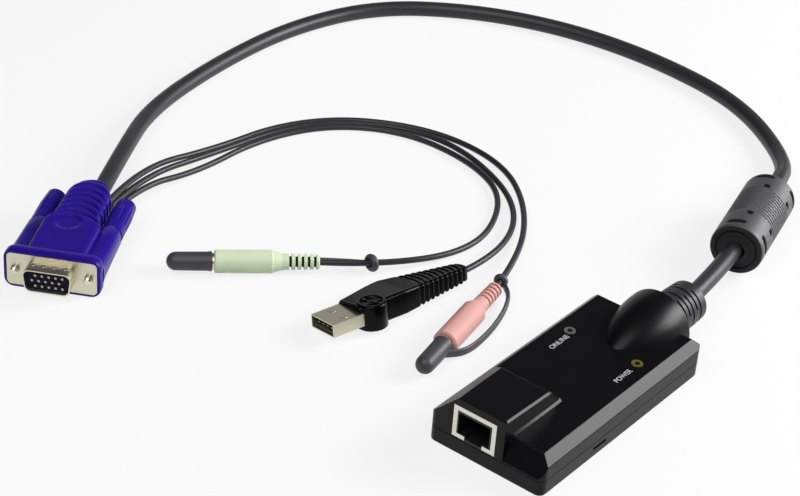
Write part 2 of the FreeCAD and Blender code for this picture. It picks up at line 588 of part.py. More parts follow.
# Choke: a ferrite tube in a moulded barrel on the main cable
barrel = turned("barrel", [
    ("0", "-boss_proud"), ("boss_radius", "-boss_proud"), ("boss_radius", "0"), ("choke_radius - choke_rim", "0"),
    ("choke_radius", "choke_rim"), ("choke_radius", "choke_length - choke_rim"),
    ("choke_radius - choke_rim", "choke_length"), ("boss_radius", "choke_length"),
    ("boss_radius", "choke_length + boss_proud"), ("0", "choke_length + boss_proud")])
core_room = rod("core_room", "choke_radius - choke_wall", "choke_length - 2 * choke_end",
                ("0", "choke_end", "0"), "y")
cable_way = rod("cable_way", "main_thick / 2 + choke_play", "choke_length + 8 * boss_proud",
                ("0", "-4 * boss_proud", "0"), "y")
barrel_cuts = [core_room, cable_way]
for i in range(int(size("ring_count"))):
    start = "ring_first + %d * ring_pitch" % i
    around = rod("ring_out_%d" % i, "2 * choke_radius", "ring_wide", ("0", start, "0"), "y")
    keep = rod("ring_keep_%d" % i, "choke_radius - ring_deep", "ring_wide", ("0", start, "0"), "y")
    barrel_cuts.append(cut("fine_ring_%d" % i, around, keep))
for end, start in (("near", "-1"), ("far", "choke_length - groove_deep")):
    around = rod("end_ring_" + end, "choke_radius - 2 * choke_rim", "groove_deep + 1", ("0", start, "0"), "y")
    keep = rod("end_keep_" + end, "choke_radius - 2 * choke_rim - choke_groove", "groove_deep + 1",
               ("0", start, "0"), "y")
    barrel_cuts.append(cut("end_groove_" + end, around, keep))
for quarter in range(2):
    for level in ("high", "low"):
        tilt = size("hole_" + level) + 180 * quarter
        for spot in ("near", "far"):
            name = "%s_%s_%d" % (level, spot, quarter)
            drill = doc.addObject("Part::Cylinder", "drill_" + name)
            bind(drill, "Radius", "hole_radius")
            bind(drill, "Height", "2 * choke_radius")
            drill.Placement = Placement(Vector(0, size("hole_" + spot), 0), Rotation(Y, 90 - tilt))
            barrel_cuts.append(drill)
            slit = box("window_" + name, ("window_reach", "window_wide", "choke_radius"),
                       ("0", "0", "0"))
            turn = size("window_" + level) + 180 * quarter
            middle = Placement(Vector(0, size("window_" + spot), 0), Rotation(Y, 90 - turn))
            slit.setExpression("Placement.Base.x", None)
            slit.setExpression("Placement.Base.y", None)
            slit.setExpression("Placement.Base.z", None)
            slit.Placement = middle.multiply(Placement(
                Vector(-size("window_reach") / 2, 0, size("choke_radius") - size("window_deep")), Rotation()))
            barrel_cuts.append(slit)
node("choke_cover", cut("cover", barrel, *barrel_cuts), choke_place)
core_blank = rod("core_blank", "choke_radius - choke_wall - core_play", "choke_length - 2 * choke_end - 2 * core_play",
                 ("0", "choke_end + core_play", "0"), "y")
core_way = rod("core_way", "core_bore", "choke_length", ("0", "0", "0"), "y")
node("choke_core", cut("core", core_blank, core_way), choke_place)


# Video plug: moulded hood, metal flange and D-shaped shell, insert, pins and two thumbscrews
def side_block(name, half, high, start, end, corner):
    """A rounded block across the plug's own axis."""
    body = prism(name, "XZ_Plane",
                 [("-(%s)" % half, "-(%s) / 2" % high), (half, "-(%s) / 2" % high),
                  (half, "(%s) / 2" % high), ("-(%s)" % half, "(%s) / 2" % high)],
                 "-(%s)" % end, "(%s) - (%s)" % (end, start))
    return rounded(body, corner, runs_along(Y))


block = side_block("hood_block", "block_width / 2", "block_high", "0", "block_deep", "block_corner")
tail = prism("hood_tail", "XY_Plane", [
    ("-body_half", "block_deep / 2"), ("body_half", "block_deep / 2"), ("body_half", "body_deep - shoulder_long"),
    ("tail_half", "body_deep"), ("tail_half", "tail_end"), ("-tail_half", "tail_end"), ("-tail_half", "body_deep"),
    ("-body_half", "body_deep - shoulder_long")],
    "-body_high / 2", "body_high")
tail_end = size("tail_end")
rounded(tail, "tail_round", runs_along(Z, lambda c: c.y > tail_end - 1))
rounded(tail, "body_corner", lambda edge: edge.BoundBox.ZLength < 1e-3 and edge.BoundBox.YMax > size("block_deep"))
wings = []
for side, sign in (("left", "-1"), ("right", "1")):
    wings.append(rod("wing_" + side, "wing_radius", "body_deep - block_deep / 2",
                     (sign + " * screw_x", "block_deep / 2", "0"), "y"))
wing_web = box("wing_web", ("2 * screw_x", "body_deep - block_deep / 2", "2 * wing_radius"),
               ("-screw_x", "block_deep / 2", "-wing_radius"))
hood_cuts = []
for i in range(int(size("rib_count"))):
    start = "rib_first + %d * rib_pitch" % i
    around = box("rib_out_%d" % i, ("4 * tail_half", "rib_wide", "2 * body_high"), ("-2 * tail_half", start, "-body_high"))
    keep = side_block("rib_keep_%d" % i, "tail_half - rib_deep", "body_high - 2 * rib_deep", start,
                      start + " + rib_wide", "body_corner")
    hood_cuts.append(cut("rib_%d" % i, around, keep))
hood_cuts.append(rod("dimple", "dimple_radius", "body_high", ("0", "dimple_y", "body_high / 2 - dimple_deep")))
hood_cuts.append(side_block("flange_pocket", "flange_width / 2", "flange_high", "-1", "flange_sheet", "flange_corner"))
for side, sign in (("left", "-1"), ("right", "1")):
    hood_cuts.append(rod("screw_way_" + side, "screw_radius + screw_play", "2 * body_deep",
                         (sign + " * screw_x", "-block_deep", "0"), "y"))
hood = cut("hood", fuse("hood_mass", block, tail, wing_web, *wings), *hood_cuts)
hood.Placement = vga_place
seats = [cord_seat("vga_seat_" + cord, list(reversed(ROUTES[cord])) if cord == "main_cable" else ROUTES[cord],
                   CORD_WIDTH[cord] / 2) for cord in ROUTES]
node("vga_hood", cut("seated_hood", hood, *seats))


def dee(name, inset, start, end):
    """The D outline of the shell, wide side up, moved in by an inset."""
    high = "(dshell_high / 2 - %s)" % inset
    body = prism(name, "XZ_Plane",
                 [("-(dshell_narrow / 2 - %s)" % inset, "-" + high), ("dshell_narrow / 2 - %s" % inset, "-" + high),
                  ("dshell_wide / 2 - %s" % inset, high), ("-(dshell_wide / 2 - %s)" % inset, high)],
                 "-(%s)" % end, "(%s) - (%s)" % (end, start))
    return rounded(body, "dshell_corner - %s" % inset, lambda edge: edge.BoundBox.YLength > 1e-3
                   and edge.BoundBox.XLength < 1e-3)


flange = side_block("flange", "flange_width / 2 - fit_gap", "flange_high - 2 * fit_gap", "0", "flange_sheet", "flange_corner")
shell_outer = dee("dee_outer", "0", "-dshell_reach", "flange_sheet")
shell_inner = dee("dee_inner", "dshell_sheet", "-dshell_reach - 1", "flange_sheet + 1")
screw_holes = [rod("flange_hole_" + side, "screw_radius + screw_play", "4 * flange_sheet",
                   (sign + " * screw_x", "-2 * flange_sheet", "0"), "y") for side, sign in (("left", "-1"), ("right", "1"))]
node("vga_shell", cut("dee_shell", fuse("dee_mass", flange, shell_outer), shell_inner, *screw_holes), vga_place)
insert_mass = dee("dee_insert", "dshell_sheet", "-dshell_reach + insert_back", "flange_sheet")
pin_list, way_list = [], []
for line in range(3):
    for i in range(5):
        across = "(%d - 2) * vga_pitch + %s" % (i, ("vga_pitch / 4", "-vga_pitch / 4", "vga_pitch / 4")[line])
        up = "(1 - %d) * vga_row" % line
        name = "%d_%d" % (line, i)
        pin_list.append(rod("vga_pin_" + name, "vga_pin", "pin_reach + flange_sheet", (across, "-pin_reach", up), "y"))
        way_list.append(rod("vga_way_" + name, "vga_pin", "2 * pin_reach", (across, "-2 * pin_reach + flange_sheet", up), "y"))
node("vga_insert", cut("insert_drilled", insert_mass, *way_list), vga_place)
node("vga_pins", fuse("pins", *pin_list), vga_place)

for side, sign in (("left", "-1"), ("right", "1")):
    grip = turned("grip_" + side, [
        ("screw_radius", "knob_front"), ("knob_radius - 0.6", "knob_front"), ("knob_radius", "knob_front + 0.6"),
        ("knob_radius", "knob_front + knob_length * 0.6"), ("knob_tail", "knob_front + knob_length - 0.8"),
        ("knob_tail - 0.8", "knob_front + knob_length"), ("0", "knob_front + knob_length"),
        ("0", "knob_front + knob_seat"), ("screw_radius", "knob_front + knob_seat")])
    flutes = []
    for i in range(int(size("flute_count"))):
        angle = 2 * math.pi * i / size("flute_count")
        out = size("knob_radius") + size("flute_radius") - size("flute_deep")
        flute = doc.addObject("Part::Cylinder", "flute_%s_%d" % (side, i))
        bind(flute, "Radius", "flute_radius")
        bind(flute, "Height", "knob_length")
        start = size("knob_front") + 5.0
        flute.Placement = Placement(Vector(out * math.cos(angle), start, out * math.sin(angle)), TURNS["y"])
        flutes.append(flute)
    own = vga_place.multiply(Placement(Vector(float(sign) * size("screw_x"), 0, 0), Rotation()))
    node("knob_" + side, cut("fluted_" + side, grip, *flutes), own)
    node("screw_" + side, turned("screw_turn_" + side, [
        ("0", "-screw_reach"), ("screw_radius - 0.4", "-screw_reach"), ("screw_radius", "-screw_reach + 0.4"),
        ("screw_radius", "knob_front + knob_seat"), ("0", "knob_front + knob_seat")]), own)

# USB plug: metal shell, tongue and contact pads, and the lopsided ribbed hood
metal_outer = box("metal_outer", ("usb_wide", "usb_reach + usb_tail", "usb_thick"), ("-usb_wide / 2", "0", "-usb_thick / 2"))
metal_inner = box("metal_inner", ("usb_wide - 2 * usb_sheet", "usb_reach + usb_tail + 2", "usb_thick - 2 * usb_sheet"),
                  ("-usb_wide / 2 + usb_sheet", "-1", "-usb_thick / 2 + usb_sheet"))
metal_holes = [box("metal_hole_%d" % i, ("usb_hole", "usb_hole", "4 * usb_sheet"),
                   ("%s * usb_hole_x - usb_hole / 2" % sign, "usb_hole_y - usb_hole / 2", "usb_thick / 2 - 2 * usb_sheet"))
               for i, sign in enumerate(("-1", "1"))]
node("usb_shell", cut("metal", metal_outer, metal_inner, *metal_holes), usb_place)
tongue_low = "-usb_thick / 2 + usb_sheet"
node("usb_tongue", prism("tongue", "YZ_Plane", [
    ("tongue_back", tongue_low), ("usb_reach + usb_tail", tongue_low),
    ("usb_reach + usb_tail", tongue_low + " + tongue_thick"), ("2 * tongue_back", tongue_low + " + tongue_thick"),
    ("tongue_back", tongue_low + " + tongue_thick - tongue_back")],
    "-usb_wide / 2 + usb_sheet", "usb_wide - 2 * usb_sheet"), usb_place)
pads = [box("usb_pad_%d" % i, ("usb_pad_wide", "usb_pad_long", "usb_pad_thick"),
            ("(%d - 1.5) * usb_pad_pitch - usb_pad_wide / 2" % i, "2 * tongue_back",
             tongue_low + " + tongue_thick")) for i in range(4)]
node("usb_contacts", fuse("usb_pads", *pads), usb_place)


def hood_section(body, at, left, right, left_half, right_half, keep="1"):
    """One eight-sided section of the hood, thinner on its left side, scaled by a share."""
    made = new_sketch(body, "XZ_Plane", "-(%s)" % at)
    edge = "hood_edge"
    draw(made, [(f"-({left}) * {keep} + {edge}", f"-({left_half}) * {keep}"),
                (f"({right}) * {keep} - {edge}", f"-({right_half}) * {keep}"),
                (f"({right}) * {keep}", f"-({right_half}) * {keep} + {edge}"),
                (f"({right}) * {keep}", f"({right_half}) * {keep} - {edge}"),
                (f"({right}) * {keep} - {edge}", f"({right_half}) * {keep}"),
                (f"-({left}) * {keep} + {edge}", f"({left_half}) * {keep}"),
                (f"-({left}) * {keep}", f"({left_half}) * {keep} - {edge}"),
                (f"-({left}) * {keep}", f"-({left_half}) * {keep} + {edge}")])
    return made


def lofted(name, sections):
    body = doc.addObject("PartDesign::Body", name)
    made = [hood_section(body, *section) for section in sections]
    loft = body.newObject("PartDesign::AdditiveLoft", name + "_loft")
    loft.Profile = made[0]
    loft.Sections = made[1:]
    loft.Ruled = True
    body.Tip = loft
    return body


widest = ("hood_left_wide", "hood_right", "hood_left_thin", "hood_right_thick")
last = ("hood_end_half", "hood_end_half", "hood_end_thick", "hood_end_thick")
hood_mass = lofted("usb_mass", [
    ("hood_nose", "hood_left_front", "hood_right", "hood_left_thin", "hood_right_thick"),
    ("hood_wide_at",) + widest, ("hood_end",) + last])
hub = rod("hub", "hub_radius", "2 * hub_half", ("hub_x", "hub_y", "-hub_half"))
usb_ribs = []
for i in range(int(size("usb_rib_count"))):
    start = "usb_rib_first + %d * usb_rib_pitch" % i
    around = box("usb_rib_out_%d" % i, ("6 * usb_wide", "usb_rib_wide", "8 * usb_thick"),
                 ("-3 * usb_wide", start, "-4 * usb_thick"))
    fraction = "((%s + usb_rib_wide / 2 - hood_wide_at) / (hood_end - hood_wide_at))" % start
    here = ["(%s) + ((%s) - (%s)) * %s - usb_rib_keep" % (wide, far, wide, fraction) for wide, far in zip(widest, last)]
    keep = lofted("usb_rib_keep_%d" % i, [(start,) + tuple(here), (start + " + usb_rib_wide",) + tuple(here)])
    usb_ribs.append(cut("usb_rib_%d" % i, around, keep))
metal_room = box("metal_room", ("usb_wide", "usb_tail + 1", "usb_thick"), ("-usb_wide / 2", "hood_nose - 1", "-usb_thick / 2"))
usb_solid = cut("usb_hood_cut", fuse("usb_hood_mass", hood_mass, hub), metal_room, *usb_ribs)
usb_solid.Placement = usb_place
node("usb_hood", cut("usb_hood_seated", usb_solid,
                     cord_seat("usb_seat", list(reversed(ROUTES["usb_cable"])), size("lead_thick") / 2)))

# Audio plugs: pin with its collar, moulded body with a slotted relief, and the cap on its strap
STRAPS = {
    "green": [(-2.9, -3.4, -1.0), (-7.4, 3.0, -2.4), (-8.6, 17.0, -2.9), (-6.4, 31.0, -2.4), (-2.3, 44.8, -0.3)],
    "pink": [(2.9, -3.6, -1.0), (7.8, 3.2, -2.4), (9.0, 18.0, -3.1), (6.6, 34.0, -2.6), (2.3, 47.3, -0.3)],
}
for colour, place in (("green", green_place), ("pink", pink_place)):
    front, full = colour + "_front", colour + "_radius"
    collar_at = front + " - cap_clear"
    node(colour + "_plug_pin", turned(colour + "_pin", [
        ("0", "cap_top"), ("plug_pin * 0.5", "cap_top"), ("plug_pin * 0.95", "cap_top + 1.2"),
        ("tip_neck", "cap_top + tip_ball"), ("plug_pin", "cap_top + tip_ball + 0.5"), ("plug_pin", collar_at + " + 0.1"),
        ("plug_collar", collar_at + " + 0.1"), ("plug_collar", front), ("0", front)]), place)
    end = "(%s + %s_tail)" % (front, colour)
    taper = "(%s + %s_body)" % (front, colour)
    shape = turned(colour + "_body_turned", [
        ("0", front), (full + " - 0.5", front), (full, front + " + 0.5"), (full, taper + " - 0.6"),
        (full + " - 0.3", taper), ("relief_thick", taper + " + body_taper"), ("relief_thin", end + " - 0.4"),
        ("relief_thin - 0.4", end), ("0", end)])
    slots = []
    for i in range(int(size("audio_slots"))):
        start = "%s - audio_slot_back - audio_slot - %d * audio_pitch" % (end, i)
        around = rod("%s_slot_out_%d" % (colour, i), "2 * relief_thick", "audio_slot", ("0", start, "0"), "y")
        keep = rod("%s_slot_keep_%d" % (colour, i), "audio_core", "audio_slot", ("0", start, "0"), "y")
        slots.append(cut("%s_slot_%d" % (colour, i), around, keep))
    solid = cut(colour + "_body_cut", shape, *slots)
    solid.Placement = place
    cord = colour + "_cable"
    node(colour + "_plug_body", cut(colour + "_body_seated", solid,
         cord_seat(colour + "_seat", list(reversed(ROUTES[cord])), size("lead_thick") / 2)))
    sleeve = turned(colour + "_sleeve", [
        ("0", "0"), ("cap_radius", "0"), ("cap_radius", collar_at), ("cap_bore", collar_at),
        ("cap_bore", "cap_top - 0.1"), ("0", "cap_top - 0.1")])
    sleeve.recompute(True)
    rounded(sleeve, "cap_nose", lambda edge: edge.BoundBox.YMax < 1e-6 and edge.BoundBox.XLength > 1)
    front_at, end_at = size(front), size(front) + size(colour + "_tail")
    strap_points = [Vector(x, front_at + y, z) for x, y, z in STRAPS[colour]]
    strap = doc.addObject("Part::Feature", colour + "_strap")
    strap.Shape = tube(strap_points, size("strap_radius"))[0]
    ring = doc.addObject("Part::Torus", colour + "_ring")
    bind(ring, "Radius1", "ring_inner + ring_bar")
    bind(ring, "Radius2", "ring_bar")
    ring.Placement = Placement(Vector(0, end_at + size("ring_back"), 0), TURNS["y"])
    node(colour + "_cap", fuse(colour + "_cap_whole", sleeve, strap, ring), place)

# Every object must have worked before anything is written
doc.recompute()
for made in doc.Objects:
    if "Invalid" in made.State or "Error" in made.State:
        raise RuntimeError("%s did not build" % made.Name)
for name, made in nodes.items():
    if made.Shape.isNull() or not made.Shape.isValid():
        raise RuntimeError("%s has no valid shape" % name)
for name, made in nodes.items():
    made.Shape.exportStep("parts/%s.step" % name)
    print(name, "solids", len(made.Shape.Solids), "volume", round(made.Shape.Volume, 1))
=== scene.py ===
import bmesh
import bpy
import math
import numpy as np
from mathutils import Matrix, Vector


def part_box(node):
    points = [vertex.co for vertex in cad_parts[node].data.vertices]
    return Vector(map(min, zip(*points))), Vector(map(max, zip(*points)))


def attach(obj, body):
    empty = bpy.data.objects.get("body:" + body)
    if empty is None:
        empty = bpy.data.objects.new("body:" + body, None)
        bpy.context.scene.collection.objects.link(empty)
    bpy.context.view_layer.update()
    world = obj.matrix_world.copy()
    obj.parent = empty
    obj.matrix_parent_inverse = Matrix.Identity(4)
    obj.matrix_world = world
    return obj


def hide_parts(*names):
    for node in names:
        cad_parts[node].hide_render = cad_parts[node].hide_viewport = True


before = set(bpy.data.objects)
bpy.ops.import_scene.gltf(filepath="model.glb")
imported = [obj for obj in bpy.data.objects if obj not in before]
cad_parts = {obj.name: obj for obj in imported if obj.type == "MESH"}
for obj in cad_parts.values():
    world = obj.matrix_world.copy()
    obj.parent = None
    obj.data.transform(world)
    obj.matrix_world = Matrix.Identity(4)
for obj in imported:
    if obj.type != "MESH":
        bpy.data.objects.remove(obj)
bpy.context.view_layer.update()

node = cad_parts

# Studio: the camera stands before the socket's right corner, 32 degrees above a pale table. A
# broad softbox hangs overhead, one behind on the right draws the sheen on the bevel, and two
# low cards behind light the upright faces and the USB plug's metal.
camera = bpy.data.objects.new("camera", bpy.data.cameras.new("camera"))
camera.data.sensor_width = 36.0
camera.data.lens = 97.5
camera.data.clip_end = 20.0
facing = Matrix(((0.7769, -0.3808, 0.5014), (0.6262, 0.3841, -0.6785), (0.0658, 0.8411, 0.5368)))
camera.matrix_world = Matrix.Translation((0.2834, -0.4893, 0.4057)) @ facing.to_4x4()
bpy.context.scene.collection.objects.link(camera)
bpy.context.scene.camera = camera
bpy.context.scene.view_settings.view_transform = "Standard"


def linear(code):
    """sRGB hex to linear light: the dark end divided by 12.92, the rest raised to the power 2.4."""
    shade = np.array([int(code[i:i + 2], 16) for i in (1, 3, 5)]) / 255
    shade = np.where(shade <= 0.04045, shade / 12.92, ((shade + 0.055) / 1.055) ** 2.4)
    return (*shade.tolist(), 1.0)


def add(tree, kind, links=(), fixed=(), **settings):
    """Adds one node. Settings name its properties or sockets, fixed is (socket, value) for
    sockets that have no name of their own, and links are (socket, source, output)."""
    made = tree.nodes.new("ShaderNode" + kind)
    for key, value in settings.items():
        if key[0].islower():
            setattr(made, key, value)
        else:
            made.inputs[key.replace("_", " ")].default_value = value
    for socket, value in fixed:
        made.inputs[socket].default_value = value
    for socket, source, output in links:
        tree.links.new(source.outputs[output], made.inputs[socket])
    return made


def new_material(name):
    """A material with no nodes yet, and its node tree."""
    made = bpy.data.materials.new(name)
    made.use_nodes = True
    made.node_tree.nodes.clear()
    return made, made.node_tree


def linked(obj):
    """Puts an object in the scene and hands it back."""
    bpy.context.scene.collection.objects.link(obj)
    return obj


def softbox(name, place, target, width, depth, watts):
    """A white rectangular lamp turned towards a point, in metres."""
    lamp = bpy.data.lights.new(name, "AREA")
    lamp.shape = "RECTANGLE"
    lamp.size, lamp.size_y = width, depth
    lamp.energy = watts
    made = linked(bpy.data.objects.new(name, lamp))
    aim = (Vector(target) - Vector(place)).to_track_quat("-Z", "Y")
    made.matrix_world = Matrix.Translation(place) @ aim.to_matrix().to_4x4()


softbox("overhead", (0.1, -0.7, 1.15), (-0.1, 0.0, 0.0), width=1.1, depth=1.1, watts=12.5)
softbox("behind_right", (0.56, 0.68, 0.52), (0.0, 0.0, 0.0), width=0.62, depth=0.44, watts=15.0)
softbox("behind_low", (0.5, 1.05, 0.14), (0.0, 0.05, 0.02), width=0.8, depth=0.2, watts=2.4)
softbox("behind_left", (-1.0, 1.0, 0.3), (-0.1, 0.0, 0.0), width=1.0, depth=0.24, watts=0.8)

air = bpy.data.worlds.new("studio air")
air.use_nodes = True
air.node_tree.nodes["Background"].inputs["Color"].default_value = (0.05, 0.05, 0.052, 1.0)
bpy.context.scene.world = air

# The table is matt to the lamps. Looked at, also in a mirror or through plastic, it is mostly an
# even white, so that it has no far edge.
table_paint, tree = new_material("white table lacquer")
ray = add(tree, "LightPath")
seen = add(tree, "Math", operation="MAXIMUM",
           links=[(0, ray, "Is Camera Ray"), (1, ray, "Is Glossy Ray")])
seen_through = add(tree, "Math", operation="MAXIMUM",
                   links=[(0, seen, "Value"), (1, ray, "Is Transmission Ray")])
even_share = 0.78
share = add(tree, "Math", operation="MULTIPLY", links=[(0, seen_through, "Value")], fixed=[(1, even_share)])
matt = add(tree, "BsdfDiffuse", Color=(0.62, 0.62, 0.62, 1.0))
bright = add(tree, "Emission", Color=(1.0, 1.0, 1.0, 1.0), Strength=1.03)
blend = add(tree, "MixShader", links=[("Fac", share, "Value"), (1, matt, "BSDF"), (2, bright, "Emission")])
add(tree, "OutputMaterial", links=[("Surface", blend, "Shader")])
reach, under = 6, -1e-4
table_mesh = bpy.data.meshes.new("table")
table_mesh.from_pydata([(x * reach, y * reach, under) for x, y in ((-1, -1), (1, -1), (1, 1), (-1, 1))],
                       [], [(0, 1, 2, 3)])
table_mesh.materials.append(table_paint)
table = linked(bpy.data.objects.new("table", table_mesh))

# Dongle housing: two halves moulded in ABS with a fine spark-eroded grain, snapped together.
# The upper half carries the hump over the socket and the egg-shaped neck, and two words
# printed in white beside the lamps.

# A colour mix node's two colours and its result share their names with its plain numbers, so
# they go by their place in the node.
mix_first, mix_second, mix_result = 6, 7, 2


def moulded(name, colour, rough, grain, depth, drift=0.88, level=0.5, seam=None, shade_core=None):
    """A moulded plastic. Its colour drifts to a darker share over 9 mm and back, and a fine noise
    as wide as the grain, in mm, both roughens the normal and moves the roughness by a tenth. A real
    grain of about 0.05 mm is too fine to show, so it is drawn coarser. A seam is the height in mm
    where two halves meet: a line 0.3 mm wide, sunk and dull. A shade core is a radius in mm round
    the y axis of a frame, the colour of painted shade within it, which is also dull, and the frame's
    place in mm and its turn about z in degrees. Slots, windows and grooves that reach inside the
    radius get painted shade."""
    made, tree = new_material(name)
    where = add(tree, "TexCoord")
    wide = add(tree, "TexNoise", Scale=110.0, Detail=2.0, links=[("Vector", where, "Object")])
    fine = add(tree, "TexNoise", Scale=1000.0 / grain, Detail=3.0, links=[("Vector", where, "Object")])
    tone = add(tree, "ValToRGB", links=[("Fac", wide, "Fac")])
    full = linear(colour)
    tone.color_ramp.elements[0].position = 0.3
    tone.color_ramp.elements[0].color = (full[0] * drift, full[1] * drift, full[2] * drift, 1.0)
    tone.color_ramp.elements[1].position = 0.7
    tone.color_ramp.elements[1].color = full
    gloss = add(tree, "MapRange", To_Min=rough * 0.9, To_Max=min(1.0, rough * 1.12),
                links=[("Value", fine, "Fac")])
    relief = add(tree, "Bump", Strength=1.0, Distance=depth * 0.001, links=[("Height", fine, "Fac")])
    plastic = add(tree, "BsdfPrincipled", Specular_IOR_Level=level,
                  links=[("Base Color", tone, "Color"), ("Roughness", gloss, "Result"),
                         ("Normal", relief, "Normal")])
    add(tree, "OutputMaterial", links=[("Surface", plastic, "BSDF")])
    if seam:
        half_width = 0.00016
        spot = add(tree, "SeparateXYZ", links=[("Vector", where, "Object")])
        mask = add(tree, "Math", operation="COMPARE", links=[(0, spot, "Z")],
                   fixed=[(1, seam * 0.001), (2, half_width)])
        sunk = add(tree, "Bump", invert=True, Strength=1.0, Distance=0.0003,
                   links=[("Height", mask, "Value"), ("Normal", relief, "Normal")])
        tree.links.new(sunk.outputs["Normal"], plastic.inputs["Normal"])
    # Painted shade: inside the radius the colour turns to the given dark colour, so recesses cut below it
    # look shadowed.
    if shade_core:
        radius, painted_shade, place, turn = shade_core
        own = add(tree, "Mapping", vector_type="TEXTURE", Location=[c / 1000 for c in place],
                  Rotation=(0.0, 0.0, math.radians(turn)), links=[("Vector", where, "Object")])
        across = add(tree, "VectorMath", operation="MULTIPLY", links=[(0, own, "Vector")],
                     fixed=[(1, (1.0, 0.0, 1.0))])
        away = add(tree, "VectorMath", operation="LENGTH", links=[(0, across, "Vector")])
        mask = add(tree, "Math", operation="LESS_THAN", links=[(0, away, "Value")],
                   fixed=[(1, radius * 0.001)])
        both = add(tree, "Mix", data_type="RGBA", fixed=[(mix_second, linear(painted_shade))],
                   links=[("Factor", mask, "Value"), (mix_first, tone, "Color")])
        tree.links.new(both.outputs[mix_result], plastic.inputs["Base Color"])
    if seam or shade_core:
        dull = add(tree, "Math", operation="MAXIMUM", links=[(0, mask, "Value"), (1, gloss, "Result")])
        tree.links.new(dull.outputs["Value"], plastic.inputs["Roughness"])
    return made


def finish(material, *names):
    """Gives CAD pieces their material."""
    for name in names:
        node[name].data.materials.clear()
        node[name].data.materials.append(material)


# Moulded ABS with a spark-eroded grain: a deep satin black that breaks reflections softly. The
# seam where the two halves meet reads as a fine dull line.
housing_abs = moulded("satin moulded ABS", "#0a0a0d", 0.33, 0.35, 0.008, level=0.18, seam=5.6)
finish(housing_abs, "top_shell", "bottom_shell")

# Pad-printing ink: a flat white, a little grey.
pad_ink = moulded("white pad-printing ink", "#b6b6b9", 0.6, 0.4, 0.01)


def printed_word(word, middle, extent):
    """A word laid flat on the lid round its middle in metres and read along +y. It is stretched to
    its extent in mm and is 0.02 mm thick."""
    lid, thick = 0.0134, 0.02
    letters = bpy.data.curves.new("print_" + word.lower(), "FONT")
    letters.body = word
    letters.extrude = 0.01
    letters.offset = 0.012
    made = linked(bpy.data.objects.new("draft_" + word.lower(), letters))
    bpy.context.view_layer.update()
    flat = bpy.data.meshes.new_from_object(made.evaluated_get(bpy.context.evaluated_depsgraph_get()))
    bpy.data.objects.remove(made)
    corners = np.array([v.co for v in flat.vertices])
    size = np.array((*extent, thick)) / np.ptp(corners, axis=0) / 1000
    flat.transform(Matrix.Translation(-Vector((corners.max(0) + corners.min(0)) / 2)))
    flat.transform(Matrix.Translation((*middle, lid + thick / 2000))
                   @ Matrix.Rotation(math.radians(90), 4, "Z") @ Matrix.Diagonal((*size, 1.0)))
    flat.materials.append(pad_ink)
    piece = linked(bpy.data.objects.new("print_" + word.lower(), flat))
    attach(piece, "dongle")


printed_word("ONLINE", (-0.0119, -0.0008), (9.6, 1.9))
printed_word("POWER", (0.0134, -0.0018), (8.6, 1.9))


def skin(name, parts, place, material):
    """Closed tubes as one piece. Each part is rings x columns x 3 in mm in the piece's own frame:
    neighbouring rings are joined by four-sided faces and the two end rings are filled. Where the
    last ring falls on the first, the part is an endless loop instead."""
    crease = 38
    faces, corners, start = [], [], 0
    for part in parts:
        endless = np.allclose(part[0], part[-1])
        part = part[:-1] if endless else part
        rows, around = part.shape[:2]
        index = np.arange(rows * around).reshape(rows, around) + start
        near = np.concatenate((index, index[:1])) if endless else index
        after = np.roll(near, -1, axis=1)
        faces += np.stack((near[:-1], near[1:], after[1:], after[:-1]), -1).reshape(-1, 4).tolist()
        faces += [] if endless else [index[0].tolist(), index[-1][::-1].tolist()]
        corners.append(part.reshape(-1, 3))
        start += rows * around
    mesh = bpy.data.meshes.new(name)
    mesh.from_pydata((np.concatenate(corners) / 1000).tolist(), [], faces)
    shape = bmesh.new()
    shape.from_mesh(mesh)
    bmesh.ops.recalc_face_normals(shape, faces=shape.faces)
    shape.to_mesh(mesh)
    shape.free()
    mesh.transform(place)
    mesh.polygons.foreach_set("use_smooth", np.ones(len(mesh.polygons), bool))
    mesh.set_sharp_from_angle(angle=math.radians(crease))
    mesh.materials.append(material)
    made = linked(bpy.data.objects.new(name, mesh))
    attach(made, "dongle")
    return made


def edge_bead(along, high, section):
    """A thin bar along the hump's right side, in mm. Its section's corners stand at offsets
    (across, up) from the line, and its widest face looks out at 45 degrees like the bevel."""
    right_side = np.full(len(along), 6.5)
    line = np.stack((right_side, along, high), -1)
    return line[:, None] + np.array([(across, 0.0, up) for across, up in section])[None]


hump_side = edge_bead([-54.6, -33.2, -32.4, -31.6, -30.4], [20.58, 19.73, 19.6, 18.95, 17.8],
                      [(-0.75, -0.05), (-0.28, 0.3), (0.3, -0.28), (-0.05, -0.75), (-0.6, -0.6)])
hump_foot = edge_bead([-52.2, -51.0, -50.4, -27.2, -26.2], [11.6, 13.0, 13.4, 13.4, 13.4],
                      [(-0.2, 0.85), (0.85, -0.2), (-0.3, -0.3)])
skin("hump_edges", [hump_side, hump_foot], Matrix.Identity(4), housing_abs)

# Board inside the housing: glass-fibre laminate under green solder mask, with its main chip,
# the header that the cable's wires plug into, and two lamps under polycarbonate light pipes.

# Solder mask over woven glass: a glossy deep green with a faint wave.
solder_mask = moulded("green solder mask on glass-fibre board", "#0f5a2c", 0.3, 1.2, 0.02)
finish(solder_mask, "circuit_board")

# Moulded epoxy: a dull grey black.
chip_epoxy = moulded("black epoxy chip package", "#1b1b1d", 0.55, 0.15, 0.01)
finish(chip_epoxy, "controller_chip")

# Nylon moulded without a dye: a creamy white with a soft shine.
header_nylon = moulded("natural nylon header", "#e4dccb", 0.45, 0.6, 0.01)
finish(header_nylon, "cable_header")

# Moulded lamp package: a clean white, a little warm.
lamp_package = moulded("white lamp package", "#e9e6da", 0.35, 0.5, 0.005)
finish(lamp_package, "led_online", "led_power")


